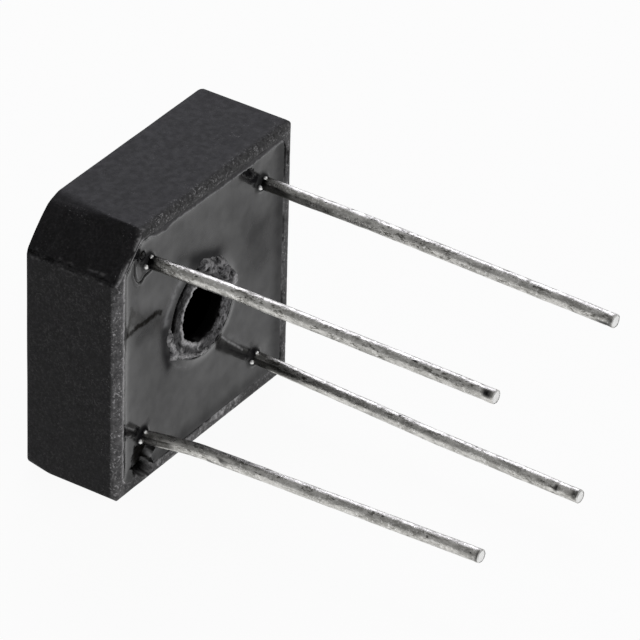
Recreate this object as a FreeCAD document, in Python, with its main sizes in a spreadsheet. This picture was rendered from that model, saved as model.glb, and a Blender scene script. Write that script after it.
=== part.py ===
import FreeCAD, Part
import Sketcher
import math
import os

# Bridge rectifier: a potted square case with a screw hole and four wire leads.
# The origin is the centre of the screw hole on the base face. The base faces +Y, the resin face and the
# leads point to -Y, and the case stands on its lower side wall with +Z up. Lengths are in millimetres and
# angles in degrees.

doc = FreeCAD.newDocument("bridge_rectifier")
sizes = doc.addObject("Spreadsheet::Sheet", "sizes")

dimensions = {
    "case_width": 15.24,
    "case_depth": 5.6,
    "base_thickness": 1.0,
    "wall_thickness": 0.7,
    "cut_corner": 2.2,
    "corner_radius": 0.3,
    "cut_corner_radius": 0.3,
    "base_edge_radius": 0.1,
    "rim_edge_radius": 0.1,
    "cavity_corner_radius": 0.5,
    "hole_diameter": 3.6,
    "tube_wall": 0.9,
    "resin_below_rim": 0.15,
    "resin_rise": 0.12,
    "resin_rise_width": 0.45,
    "resin_rise_edge": 0.05,
    "root_rise": 0.3,
    "chip_depth": 0.7,
    "plate_clearance": 0.67,
    "plate_width": 2.2,
    "plate_thickness": 0.5,
    "plate_corner_cut": 0.8,
    "plate_margin": 0.2,
    "die_side": 2.0,
    "die_thickness": 0.28,
    "solder_side": 1.8,
    "solder_thickness": 0.08,
    "lead_diameter": 0.8,
    "head_diameter": 1.3,
    "head_thickness": 0.35,
    "lean_direction": 51.5,
    "root_bend_radius": 3.0,
    "root_bend_below_rim": 0.3,
    "knee_radius": 20.0,
}

# Each lead's head lies on a plate's corner, moved a little in X and Z. The lead stands out past the rim by
# its reach. It leans from the root, runs straight, and bends gently at a knee to its tip's own lean.
leads = {
    "plus": {"shift_x": 0.41, "shift_z": 0.23, "reach": 20.5, "lean": 1.2, "run": 4.6, "tip_lean": -0.35},
    "minus": {"shift_x": -0.31, "shift_z": -0.3, "reach": 20.1, "lean": -1.9, "run": 11.6, "tip_lean": -0.8},
    "ac_1": {"shift_x": 0.13, "shift_z": -0.17, "reach": 21.2, "lean": 0.15, "run": 6.6, "tip_lean": -0.9},
    "ac_2": {"shift_x": 0.03, "shift_z": 0.18, "reach": 20.0, "lean": 8.0, "run": 1.5, "tip_lean": 1.4},
}

# The side of the case that each plate's corner and its lead lie on, in X and Z
corners = {"plus": (-1, 1), "minus": (1, -1), "ac_1": (1, 1), "ac_2": (-1, -1)}

# Where each diode die lies, in plate half pitches along X and Z
dicePlaces = {
    "plus_ac_1": (0, 1),
    "plus_ac_2": (-1, 0),
    "minus_ac_1": (1, 0),
    "minus_ac_2": (0, -1),
}

# The chip broken out of the resin and the rim, in X and Z from the case's lower left corner
chipCorners = [
    (2.1, 2.0),
    (1.85, 1.0),
    (2.4, 0.35),
    (2.65, -0.2),
    (3.0, -0.2),
    (3.35, 0.9),
    (3.9, 1.1),
    (3.0, 1.8),
]

for leadName, lead in leads.items():
    for sizeName, value in lead.items():
        dimensions["{}_{}".format(leadName, sizeName)] = value

for row, (alias, value) in enumerate(dimensions.items(), start=1):
    sizes.set("A{}".format(row), alias)
    sizes.set("B{}".format(row), str(value))
    sizes.setAlias("B{}".format(row), alias)
doc.recompute()

# Distances from the base face, towards the resin face
caseDepth = "sizes.case_depth"
floorLevel = "sizes.base_thickness"
resinLevel = "(sizes.case_depth - sizes.resin_below_rim)"
resinTop = "({} + sizes.resin_rise)".format(resinLevel)
lowerPlateTop = "({} + sizes.plate_thickness)".format(floorLevel)
lowerSolderTop = "({} + sizes.solder_thickness)".format(lowerPlateTop)
dieTop = "({} + sizes.die_thickness)".format(lowerSolderTop)
upperPlateBottom = "({} + sizes.solder_thickness)".format(dieTop)
upperPlateTop = "({} + sizes.plate_thickness)".format(upperPlateBottom)
upperSolderTop = "({} + sizes.solder_thickness)".format(upperPlateTop)

plateBottoms = {"plus": floorLevel, "minus": floorLevel, "ac_1": upperPlateBottom, "ac_2": upperPlateBottom}
plateTops = {"plus": lowerPlateTop, "minus": lowerPlateTop, "ac_1": upperPlateTop, "ac_2": upperPlateTop}
seats = {"plus": lowerSolderTop, "minus": lowerSolderTop, "ac_1": upperSolderTop, "ac_2": upperSolderTop}

tubeDiameter = "(sizes.hole_diameter + 2 * sizes.tube_wall)"
cavityDepth = "({} - {})".format(caseDepth, floorLevel)
wallToPlate = "(sizes.wall_thickness + sizes.plate_clearance)"
halfPitch = "(sizes.case_width / 2 - {} - sizes.plate_width / 2)".format(wallToPlate)

tolerance = 0.001

# The numbers that a sketch gives to a piece of geometry's points, to its own origin and to its up axis
startPoint, endPoint, centrePoint = range(1, 4)
originIndex, verticalAxis = range(-1, -3, -1)


def addBody(label):
    body = doc.addObject("PartDesign::Body", label)
    body.Label = label
    return body


def addSketch(body, name, role="XZ_Plane", level="0"):
    # The XZ plane's normal points to -Y, so a sketch's level there is its distance from the base face
    plane = next(item for item in body.Origin.OriginFeatures if item.Role == role)
    sketch = body.newObject("Sketcher::SketchObject", name)
    sketch.AttachmentSupport = (plane, [""])
    sketch.MapMode = "FlatFace"
    sketch.setExpression("AttachmentOffset.Base.z", "{} * 1 mm".format(level))
    return sketch


def bindConstraint(sketch, constraint, expression, unit="mm"):
    index = sketch.addConstraint(constraint)
    sketch.setExpression("Constraints[{}]".format(index), "({}) * 1 {}".format(expression, unit))


def addCircle(sketch, diameter):
    radius = sizes.evalExpression(diameter) / 2
    circle = sketch.addGeometry(Part.Circle(FreeCAD.Vector(), FreeCAD.Vector(0, 0, 1), radius), False)
    sketch.addConstraint(Sketcher.Constraint("Coincident", circle, centrePoint, originIndex, startPoint))
    bindConstraint(sketch, Sketcher.Constraint("Diameter", circle, 2 * radius), diameter)


def placePoint(sketch, geometry, point, across, up):
    # A distance is never negative here: its two ends are named in the order that keeps it positive
    for kind, expression in (("DistanceX", across), ("DistanceY", up)):
        value = sizes.evalExpression(expression)
        if value < 0:
            constraint = Sketcher.Constraint(kind, geometry, point, originIndex, startPoint, -value)
            bindConstraint(sketch, constraint, "-({})".format(expression))
        else:
            constraint = Sketcher.Constraint(kind, originIndex, startPoint, geometry, point, value)
            bindConstraint(sketch, constraint, expression)


def addPolygon(sketch, points):
    # Each point is a pair of sheet expressions, across and up
    places = []
    for across, up in points:
        places.append(FreeCAD.Vector(sizes.evalExpression(across), sizes.evalExpression(up), 0))
    lines = []
    for place, nextPlace in zip(places, places[1:] + places[:1]):
        lines.append(sketch.addGeometry(Part.LineSegment(place, nextPlace), False))
    for line, nextLine in zip(lines, lines[1:] + lines[:1]):
        sketch.addConstraint(Sketcher.Constraint("Coincident", line, endPoint, nextLine, startPoint))
    for line, (across, up) in zip(lines, points):
        placePoint(sketch, line, startPoint, across, up)


def cutAtInset(inset):
    # Keeps the wall as thick at the cut corner as it is along the sides
    return "(sizes.cut_corner - {} * (2 - sqrt(2)))".format(inset)


def caseOutline(inset):
    # The square with one corner cut, moved inwards by the inset
    half = "(sizes.case_width / 2 - {})".format(inset)
    cut = cutAtInset(inset)
    return [
        ("-({} - {})".format(half, cut), half),
        (half, half),
        (half, "-{}".format(half)),
        ("-{}".format(half), "-{}".format(half)),
        ("-{}".format(half), "{} - {}".format(half, cut)),
    ]


def chipOutline():
    corner = "sizes.case_width / 2"
    return [("{} - {}".format(across, corner), "{} - {}".format(up, corner)) for across, up in chipCorners]


def plateOutline(name):
    # An L whose outer corner is cut, with arms that reach past the middle of the case's two sides. The
    # plate in the case's cut corner follows the wall there.
    sideX, sideZ = corners[name]
    outer = "({} + sizes.plate_width / 2)".format(halfPitch)
    inner = "({} - sizes.plate_width / 2)".format(halfPitch)
    past = "-(sizes.die_side / 2 + sizes.plate_margin)"
    cornerCut = cutAtInset(wallToPlate) if name == "plus" else "sizes.plate_corner_cut"
    cut = "({} - {})".format(outer, cornerCut)
    ends = [(outer, past), (inner, past), (inner, inner), (past, inner), (past, outer)]
    shape = [(cut, outer), (outer, cut)] + ends
    return [("{} * {}".format(sideX, across), "{} * {}".format(sideZ, up)) for across, up in shape]


def addPad(body, sketch, name, length):
    pad = body.newObject("PartDesign::Pad", name)
    pad.Profile = sketch
    pad.setExpression("Length", "{} * 1 mm".format(length))
    sketch.Visibility = False
    doc.recompute()
    return pad


def addPocket(body, sketch, name, length):
    volumeBefore = body.Shape.Volume
    pocket = body.newObject("PartDesign::Pocket", name)
    pocket.Profile = sketch
    pocket.setExpression("Length", "{} * 1 mm".format(length))
    doc.recompute()
    assert body.Shape.Volume < volumeBefore, name
    return pocket


def addFillet(body, name, radius, chooseEdge):
    base = body.Tip
    edges = ["Edge{}".format(i) for i, edge in enumerate(base.Shape.Edges, start=1) if chooseEdge(edge)]
    fillet = body.newObject("PartDesign::Fillet", name)
    fillet.Base = (base, edges)
    fillet.setExpression("Radius", "{} * 1 mm".format(radius))
    doc.recompute()
    return fillet


def liesAlongDepth(edge):
    start, end = edge.Vertexes[0].Point, edge.Vertexes[-1].Point
    return abs(start.x - end.x) + abs(start.z - end.z) < tolerance and abs(start.y - end.y) > tolerance


def touchesCutCorner(edge):
    # Both ends of the cut lie where x and z differ by the case's width less the cut
    middle = edge.CenterOfMass
    return middle.z - middle.x > dimensions["case_width"] - dimensions["cut_corner"] - tolerance


def isSquareCorner(edge):
    return liesAlongDepth(edge) and not touchesCutCorner(edge)


def isCutCorner(edge):
    return liesAlongDepth(edge) and touchesCutCorner(edge)


def isBaseEdge(edge):
    return all(abs(vertex.Y) < tolerance for vertex in edge.Vertexes)


def isRimEdge(edge):
    return all(abs(vertex.Y + dimensions["case_depth"]) < tolerance for vertex in edge.Vertexes)


def isCavityCorner(edge):
    middle = edge.CenterOfMass
    insideFace = dimensions["case_width"] / 2 - dimensions["wall_thickness"] + tolerance
    return liesAlongDepth(edge) and max(abs(middle.x), abs(middle.z)) < insideFace


def makeCase():
    case = addBody("case")
    outline = addSketch(case, "case_outline")
    addPolygon(outline, caseOutline("0"))
    addPad(case, outline, "case_block", caseDepth)
    addFillet(case, "case_corners", "sizes.corner_radius", isSquareCorner)
    addFillet(case, "cut_corners", "sizes.cut_corner_radius", isCutCorner)
    addFillet(case, "base_edges", "sizes.base_edge_radius", isBaseEdge)
    addFillet(case, "rim_edges", "sizes.rim_edge_radius", isRimEdge)

    cavity = addSketch(case, "cavity_outline", level=caseDepth)
    addPolygon(cavity, caseOutline("sizes.wall_thickness"))
    addPocket(case, cavity, "cavity", cavityDepth)
    addFillet(case, "cavity_corners", "sizes.cavity_corner_radius", isCavityCorner)

    tube = addSketch(case, "tube_circle", level=floorLevel)
    addCircle(tube, tubeDiameter)
    addPad(case, tube, "tube", cavityDepth)
    hole = addSketch(case, "hole_circle", level=caseDepth)
    addCircle(hole, "sizes.hole_diameter")
    addPocket(case, hole, "screw_hole", caseDepth)
    chip = addSketch(case, "case_chip_outline", level=caseDepth)
    addPolygon(chip, chipOutline())
    addPocket(case, chip, "case_chip", "sizes.chip_depth")
    return case


def addSlab(label, points, level, thickness):
    body = addBody(label)
    outline = addSketch(body, "{}_outline".format(label), level=level)
    addPolygon(outline, points)
    addPad(body, outline, "{}_slab".format(label), thickness)
    return body


def squareOutline(place, side):
    # A square centred on a diode's place
    left = "{} * {} - {} / 2".format(place[0], halfPitch, side)
    right = "{} * {} + {} / 2".format(place[0], halfPitch, side)
    bottom = "{} * {} - {} / 2".format(place[1], halfPitch, side)
    top = "{} * {} + {} / 2".format(place[1], halfPitch, side)
    return [(left, bottom), (right, bottom), (right, top), (left, top)]


def makeDiodes():
    pieces = []
    for name, place in dicePlaces.items():
        solder = squareOutline(place, "sizes.solder_side")
        silicon = squareOutline(place, "sizes.die_side")
        layers = [
            ("solder_under", solder, lowerPlateTop, "sizes.solder_thickness"),
            ("die", silicon, lowerSolderTop, "sizes.die_thickness"),
            ("solder_over", solder, dieTop, "sizes.solder_thickness"),
        ]
        for kind, outline, level, thickness in layers:
            pieces.append(addSlab("{}_{}".format(kind, name), outline, level, thickness))
    return pieces


def leadPlace(name):
    sideX, sideZ = corners[name]
    across = "({} * {} + sizes.{}_shift_x)".format(sideX, halfPitch, name)
    up = "({} * {} + sizes.{}_shift_z)".format(sideZ, halfPitch, name)
    return across, up


def placeOnLead(item, name, level):
    # A solid of revolution stands on its lead's place with its axis along -Y
    across, up = leadPlace(name)
    item.Placement = FreeCAD.Placement(FreeCAD.Vector(), FreeCAD.Rotation(FreeCAD.Vector(1, 0, 0), 90))
    item.setExpression("Placement.Base.x", "{} * 1 mm".format(across))
    item.setExpression("Placement.Base.y", "-{} * 1 mm".format(level))
    item.setExpression("Placement.Base.z", "{} * 1 mm".format(up))


def makeLeadSolder(name):
    solder = doc.addObject("Part::Cylinder", "solder_lead_{}".format(name))
    solder.setExpression("Radius", "sizes.head_diameter / 2 * 1 mm")
    solder.setExpression("Height", "sizes.solder_thickness * 1 mm")
    placeOnLead(solder, name, plateTops[name])
    return solder


def addLeadPath(sketch, name):
    # In the plane that the lead leans in: a stretch in the resin, a bend at the root, a run, a bend at the
    # knee and the stretch to the tip
    lean = math.radians(dimensions["{}_lean".format(name)])
    tipLean = math.radians(dimensions["{}_tip_lean".format(name)])
    run = dimensions["{}_run".format(name)]
    rootRadius = dimensions["root_bend_radius"]
    kneeRadius = dimensions["knee_radius"]
    bendLevel = dimensions["case_depth"] - dimensions["root_bend_below_rim"]
    tipLevel = dimensions["case_depth"] + dimensions["{}_reach".format(name)]
    seatLevel = sizes.evalExpression(seats[name])

    def heading(angle):
        return FreeCAD.Vector(math.sin(angle), -math.cos(angle), 0)

    def sideways(angle):
        return FreeCAD.Vector(math.cos(angle), math.sin(angle), 0)

    rootSide = math.copysign(1, lean)
    kneeSide = math.copysign(1, tipLean - lean)
    seat = FreeCAD.Vector(0, -seatLevel, 0)
    rootStart = FreeCAD.Vector(0, -bendLevel, 0)
    rootCentre = rootStart + sideways(0) * rootSide * rootRadius
    rootEnd = rootCentre - sideways(lean) * rootSide * rootRadius
    kneeStart = rootEnd + heading(lean) * run
    kneeCentre = kneeStart + sideways(lean) * kneeSide * kneeRadius
    kneeEnd = kneeCentre - sideways(tipLean) * kneeSide * kneeRadius
    tip = kneeEnd + heading(tipLean) * ((tipLevel + kneeEnd.y) / math.cos(tipLean))

    def addArc(centre, start, end, side, radius):
        # An arc of a circle always runs anticlockwise, so a bend to the left is drawn from its end
        first, last = (start, end) if side > 0 else (end, start)
        angles = [math.atan2(point.y - centre.y, point.x - centre.x) for point in (first, last)]
        circle = Part.Circle(centre, FreeCAD.Vector(0, 0, 1), radius)
        return sketch.addGeometry(Part.ArcOfCircle(circle, angles[0], angles[1]), False)

    inner = sketch.addGeometry(Part.LineSegment(seat, rootStart), False)
    rootBend = addArc(rootCentre, rootStart, rootEnd, rootSide, rootRadius)
    straight = sketch.addGeometry(Part.LineSegment(rootEnd, kneeStart), False)
    knee = addArc(kneeCentre, kneeStart, kneeEnd, kneeSide, kneeRadius)
    outer = sketch.addGeometry(Part.LineSegment(kneeEnd, tip), False)

    bends = ((inner, rootBend, straight, rootSide), (straight, knee, outer, kneeSide))
    for before, bend, after, side in bends:
        near, far = (startPoint, endPoint) if side > 0 else (endPoint, startPoint)
        sketch.addConstraint(Sketcher.Constraint("Tangent", before, endPoint, bend, near))
        sketch.addConstraint(Sketcher.Constraint("Tangent", bend, far, after, startPoint))

    sketch.addConstraint(Sketcher.Constraint("PointOnObject", inner, startPoint, verticalAxis))
    sketch.addConstraint(Sketcher.Constraint("Vertical", inner))
    for line, point, level, expression in (
        (inner, startPoint, seatLevel, seats[name]),
        (inner, endPoint, bendLevel, "sizes.case_depth - sizes.root_bend_below_rim"),
        (outer, endPoint, tipLevel, "sizes.case_depth + sizes.{}_reach".format(name)),
    ):
        constraint = Sketcher.Constraint("DistanceY", line, point, originIndex, startPoint, level)
        bindConstraint(sketch, constraint, expression)
    bindConstraint(sketch, Sketcher.Constraint("Radius", rootBend, rootRadius), "sizes.root_bend_radius")
    bindConstraint(sketch, Sketcher.Constraint("Radius", knee, kneeRadius), "sizes.knee_radius")
    bindConstraint(sketch, Sketcher.Constraint("Distance", straight, run), "sizes.{}_run".format(name))
    for line, angle, sizeName in ((straight, lean, "lean"), (outer, tipLean, "tip_lean")):
        constraint = Sketcher.Constraint("Angle", line, angle - math.pi / 2)
        bindConstraint(sketch, constraint, "sizes.{}_{} - 90".format(name, sizeName), "deg")


def makeLead(name):
    label = "lead_{}".format(name)
    body = addBody(label)
    path = addSketch(body, "{}_path".format(label), role="XY_Plane")
    addLeadPath(path, name)
    section = addSketch(body, "{}_section".format(label), level=seats[name])
    addCircle(section, "sizes.lead_diameter")
    doc.recompute()
    wire = body.newObject("PartDesign::AdditivePipe", "{}_wire".format(label))
    wire.Profile = section
    wire.Spine = (path, ["Edge{}".format(i) for i in range(1, len(path.Shape.Edges) + 1)])
    doc.recompute()
    head = addSketch(body, "{}_head_circle".format(label), level=seats[name])
    addCircle(head, "sizes.head_diameter")
    addPad(body, head, "{}_head".format(label), "sizes.head_thickness")

    # The body is turned about the case's depth, so that its own X is the way that the leads lean
    across, up = leadPlace(name)
    turn = FreeCAD.Rotation(FreeCAD.Vector(0, -1, 0), dimensions["lean_direction"])
    body.Placement = FreeCAD.Placement(FreeCAD.Vector(), turn)
    body.setExpression("Placement.Rotation.Angle", "sizes.lean_direction * 1 deg")
    body.setExpression("Placement.Base.x", "{} * 1 mm".format(across))
    body.setExpression("Placement.Base.z", "{} * 1 mm".format(up))
    return body


def makeResinBlock():
    # The block reaches into the walls, which are cut out of it afterwards
    block = addBody("resin_block")
    outline = addSketch(block, "resin_outline", level=floorLevel)
    addPolygon(outline, caseOutline("sizes.wall_thickness / 2"))
    addPad(block, outline, "resin_pad", "({} - {})".format(resinTop, floorLevel))

    # Its face dips from the wall, where the resin climbs a little, to the level inside
    rimSide = addSketch(block, "resin_dip_edge", level=resinTop)
    addPolygon(rimSide, caseOutline("(sizes.wall_thickness + sizes.resin_rise_edge)"))
    levelSide = addSketch(block, "resin_dip_floor", level=resinLevel)
    addPolygon(levelSide, caseOutline("(sizes.wall_thickness + sizes.resin_rise_width)"))
    doc.recompute()
    volumeBefore = block.Shape.Volume
    dip = block.newObject("PartDesign::SubtractiveLoft", "resin_dip")
    dip.Profile = rimSide
    dip.Sections = [levelSide]
    dip.Ruled = True
    doc.recompute()
    assert block.Shape.Volume < volumeBefore
    return block


def makeRise(name, diameter, rise):
    # Resin that climbs a round thing standing in it
    cone = doc.addObject("Part::Cone", name)
    cone.setExpression("Radius1", "({} / 2 + sizes.resin_rise_width) * 1 mm".format(diameter))
    cone.setExpression("Radius2", "({} / 2 + sizes.resin_rise_edge) * 1 mm".format(diameter))
    cone.setExpression("Height", "{} * 1 mm".format(rise))
    return cone


def makeResin(case, innerPieces):
    tubeRise = makeRise("tube_rise", tubeDiameter, "sizes.resin_rise")
    tubeRise.Placement.Rotation = FreeCAD.Rotation(FreeCAD.Vector(1, 0, 0), 90)
    tubeRise.setExpression("Placement.Base.y", "-{} * 1 mm".format(resinLevel))
    rises = [tubeRise]
    for name in leads:
        rootRise = makeRise("root_rise_{}".format(name), "sizes.lead_diameter", "sizes.root_rise")
        placeOnLead(rootRise, name, resinLevel)
        rises.append(rootRise)

    filled = doc.addObject("Part::MultiFuse", "resin_filled")
    filled.Shapes = [makeResinBlock()] + rises

    # The bore's middle is plugged while the case is cut out, so that no resin stays in the hole
    plug = doc.addObject("Part::Cylinder", "bore_plug")
    plug.setExpression("Radius", "(sizes.hole_diameter + sizes.tube_wall) / 2 * 1 mm")
    plug.setExpression("Height", "{} * 1 mm".format(caseDepth))
    plug.Placement.Rotation = FreeCAD.Rotation(FreeCAD.Vector(1, 0, 0), 90)

    displaced = doc.addObject("Part::MultiFuse", "displaced")
    displaced.Shapes = [case, plug] + innerPieces
    doc.recompute()

    whole = doc.addObject("Part::Cut", "resin_whole")
    whole.Base = filled
    whole.Tool = displaced

    chipBody = addBody("resin_chip")
    chip = addSketch(chipBody, "resin_chip_outline", level="({} - sizes.chip_depth)".format(caseDepth))
    addPolygon(chip, chipOutline())
    addPad(chipBody, chip, "resin_chip_pad", "(sizes.chip_depth + sizes.resin_rise)")

    potting = doc.addObject("Part::Cut", "potting")
    potting.Base = whole
    potting.Tool = chipBody
    return potting


case = makeCase()
plates = []
for name in leads:
    outline = plateOutline(name)
    plates.append(addSlab("plate_{}".format(name), outline, plateBottoms[name], "sizes.plate_thickness"))
diodes = makeDiodes()
leadSolders = [makeLeadSolder(name) for name in leads]
wires = [makeLead(name) for name in leads]
innerPieces = plates + diodes + leadSolders + wires
potting = makeResin(case, innerPieces)
doc.recompute()

for item in doc.Objects:
    assert "Invalid" not in item.State and "Error" not in item.State, item.Name

subParts = [case, potting] + innerPieces
for piece in subParts:
    assert not piece.Shape.isNull() and piece.Shape.isValid(), piece.Label
    assert len(piece.Shape.Solids) == 1, piece.Label

os.makedirs("parts", exist_ok=True)
for piece in subParts:
    piece.Shape.exportStep("parts/{}.step".format(piece.Label))
    print(piece.Label, round(piece.Shape.Volume, 3))
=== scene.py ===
import bpy
import math
import numpy as np
from mathutils import Matrix, Vector, noise


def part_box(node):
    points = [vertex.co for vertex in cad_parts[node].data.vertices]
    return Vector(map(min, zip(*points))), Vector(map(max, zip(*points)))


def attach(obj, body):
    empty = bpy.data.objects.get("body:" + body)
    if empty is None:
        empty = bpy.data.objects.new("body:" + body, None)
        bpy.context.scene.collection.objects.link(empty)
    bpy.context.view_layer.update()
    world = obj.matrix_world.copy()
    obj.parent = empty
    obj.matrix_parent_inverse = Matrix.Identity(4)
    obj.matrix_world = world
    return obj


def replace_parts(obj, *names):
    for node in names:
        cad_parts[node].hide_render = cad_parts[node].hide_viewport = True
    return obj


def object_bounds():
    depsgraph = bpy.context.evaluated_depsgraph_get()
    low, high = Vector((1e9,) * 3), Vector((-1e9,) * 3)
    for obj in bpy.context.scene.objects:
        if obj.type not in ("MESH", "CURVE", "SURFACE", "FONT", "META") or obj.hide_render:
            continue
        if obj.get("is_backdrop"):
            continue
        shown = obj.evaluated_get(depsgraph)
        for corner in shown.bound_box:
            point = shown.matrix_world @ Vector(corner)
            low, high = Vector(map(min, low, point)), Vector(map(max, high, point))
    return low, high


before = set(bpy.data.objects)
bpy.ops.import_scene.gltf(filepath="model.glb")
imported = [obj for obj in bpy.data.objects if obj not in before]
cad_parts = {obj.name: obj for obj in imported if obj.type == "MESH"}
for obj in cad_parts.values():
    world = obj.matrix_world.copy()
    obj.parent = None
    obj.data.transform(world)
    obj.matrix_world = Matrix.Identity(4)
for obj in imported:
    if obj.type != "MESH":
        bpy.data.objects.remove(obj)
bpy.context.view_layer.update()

print("frame loaded")

mm = 0.001
quarterTurn = math.pi / 2
diagonal = math.sqrt(0.5)  # what a step along the cut corner's normal moves in X and in Z

# camera as the photograph has it: where it looks, from which side, how high, how far and how rolled
viewpoint = {
    "target": (3.09, -10.62, -0.257),
    "azimuth": -56.71,
    "elevation": 33.13,
    "roll": 1.61,
    "distance": 310.04,
    "lens": 342.7,
    "sensor": 36.0,
    "clip": (0.01, 20.0),
}


def addCamera(values):
    azimuth, elevation, roll = [math.radians(values[name]) for name in ("azimuth", "elevation", "roll")]
    flat = math.cos(elevation)
    back = Vector((math.sin(azimuth) * flat, -math.cos(azimuth) * flat, math.sin(elevation)))
    level = Vector((math.cos(azimuth), math.sin(azimuth), 0.0))
    right = level * math.cos(roll) + back.cross(level) * math.sin(roll)
    up = back.cross(right)
    place = Vector(values["target"]) * mm + back * values["distance"] * mm
    bpy.ops.object.camera_add(location=place)
    camera = bpy.context.object
    camera.name = "photoCamera"
    camera.matrix_world = Matrix.Translation(place) @ Matrix((right, up, back)).transposed().to_4x4()
    camera.data.lens = values["lens"]
    camera.data.sensor_width = values["sensor"]
    camera.data.clip_start, camera.data.clip_end = values["clip"]
    bpy.context.scene.camera = camera


addCamera(viewpoint)
print("camera set")


# small tools for modelling: places are in millimetres, and a test picks what an operator works on
def makeActive(piece):
    bpy.ops.object.select_all(action="DESELECT")
    piece.select_set(True)
    bpy.context.view_layer.objects.active = piece


def openEdit(piece, kind, test):
    makeActive(piece)
    mesh = piece.data
    for group in (mesh.vertices, mesh.edges, mesh.polygons):
        group.foreach_set("select", [False] * len(group))
    if kind == "VERT":
        for vertex in mesh.vertices:
            vertex.select = test(vertex.co / mm)
    elif kind == "EDGE":
        for edge in mesh.edges:
            edge.select = test(*[mesh.vertices[i].co / mm for i in edge.vertices])
    else:
        for face in mesh.polygons:
            face.select = bool(test(face.center / mm, face.normal))
    bpy.context.tool_settings.mesh_select_mode = (kind == "VERT", kind == "EDGE", kind == "FACE")
    bpy.ops.object.mode_set(mode="EDIT")


def openFaces(piece, wanted):
    # picks faces by a list of yes and no, one for each face
    picked = iter(wanted)
    openEdit(piece, "FACE", lambda centre, normal: next(picked))


def closeEdit():
    bpy.ops.object.mode_set(mode="OBJECT")


def extrude(move):
    bpy.ops.mesh.extrude_region_move(TRANSFORM_OT_translate={"value": Vector(move) * mm})


def deleteFaces(piece, unwanted):
    openFaces(piece, unwanted)
    bpy.ops.mesh.delete(type="FACE")
    closeEdit()


def applyModifier(piece, kind, **settings):
    makeActive(piece)
    modifier = piece.modifiers.new(kind, kind)
    for name, value in settings.items():
        setattr(modifier, name, value)
    bpy.ops.object.modifier_apply(modifier=modifier.name)


def cutWith(piece, tool, operation):
    applyModifier(piece, "BOOLEAN", object=tool, operation=operation, solver="EXACT")
    bpy.data.objects.remove(tool)


def settle(piece, name):
    # moves an object's place, turn and size into its mesh
    makeActive(piece)
    bpy.ops.object.transform_apply(location=True, rotation=True, scale=True)
    piece.name = name
    piece.data.name = name
    return piece


def rod(name, radius, start, end, x=0.0, z=0.0, sides=96):
    # a round rod along the case's depth, from one distance out of the base face to another
    middle = Vector((x, -(start + end) / 2, z)) * mm
    bpy.ops.mesh.primitive_cylinder_add(
        vertices=sides, radius=radius * mm, depth=(end - start) * mm, location=middle, rotation=(quarterTurn, 0.0, 0.0)
    )
    return settle(bpy.context.object, name)


def closeBelow(piece, under):
    # gives a sheet of relief walls and a flat underside
    openEdit(piece, "EDGE", lambda start, end: False)
    bpy.ops.mesh.select_non_manifold(
        extend=False, use_wire=False, use_boundary=True, use_multi_face=False, use_non_contiguous=False, use_verts=False
    )
    extrude((0.0, 0.4, 0.0))
    bpy.ops.transform.resize(value=(1.0, 0.0, 1.0), center_override=(0.0, -under * mm, 0.0))
    bpy.ops.mesh.fill()
    bpy.ops.mesh.select_all(action="SELECT")
    bpy.ops.mesh.normals_make_consistent(inside=False)
    closeEdit()


def readRows(items, name):
    # a vector for each vertex, face or normal, one to a row
    flat = np.empty(len(items) * 3)
    items.foreach_get(name, flat)
    return flat.reshape(-1, 3)


def readPlaces(piece):
    return readRows(piece.data.vertices, "co") / mm


def readCentres(piece):
    return readRows(piece.data.polygons, "center") / mm


def readNormals(piece):
    return readRows(piece.data.vertex_normals, "vector")


def writePlaces(piece, places):
    piece.data.vertices.foreach_set("co", (places * mm).ravel())
    piece.data.update()


def paint(piece, name, values):
    # a number for each vertex, which a material reads as an attribute
    layer = piece.data.attributes.new(name, "FLOAT", "POINT")
    layer.data.foreach_set("value", np.asarray(values, dtype=np.float32))


def unevenness(places, size, seed, depth=1):
    # soft noise of about -1 to 1 at each place; size is the width of its lumps
    shift = Vector((seed * 13.7, seed * 7.3, seed * 3.1))
    if depth == 1:
        return np.array([noise.noise(Vector(place) / size + shift) for place in places])
    return np.array([noise.fractal(Vector(place) / size + shift, 0.8, 2.0, depth) for place in places])


def smoothStep(values, low, high):
    share = np.clip((values - low) / (high - low), 0.0, 1.0)
    return share * share * (3.0 - 2.0 * share)


def speckle(places, size, seed, depth, low, high):
    # noise cut to a share: none under the low limit and all over the high one
    return smoothStep(unevenness(places, size, seed, depth), low, high)


def bell(distance, width, power=2):
    # 1 at no distance, and fading out over the width
    return np.exp(-(distance / width) ** power)


def pullBack(pastFirst, pastSecond, radius):
    # the share of its way past the centre of a rounded edge that a place goes back
    reach = np.hypot(pastFirst, pastSecond)
    beyond = (pastFirst > 0.0) & (pastSecond > 0.0) & (reach > radius)
    return np.where(beyond, 1.0 - radius / np.maximum(reach, 1e-6), 0.0)


def onFace(x, z):
    return np.column_stack((x, np.zeros(len(x)), z))


def distanceToLine(x, z, points):
    # how far each place across the face lies from a line through the points
    nearest = np.full(len(x), 1e9)
    for (startX, startZ), (endX, endZ) in zip(points[:-1], points[1:]):
        alongX, alongZ = endX - startX, endZ - startZ
        share = np.clip(((x - startX) * alongX + (z - startZ) * alongZ) / (alongX ** 2 + alongZ ** 2), 0.0, 1.0)
        nearest = np.minimum(nearest, np.hypot(x - startX - share * alongX, z - startZ - share * alongZ))
    return nearest


def drawLines(x, z, lines, stray=0.0):
    # soft lines across the face: each has its points, its width and its strength
    share = np.zeros(len(x))
    for points, width, amount in lines:
        share = np.maximum(share, amount * bell(distanceToLine(x, z, points) + stray, width))
    return share


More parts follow.
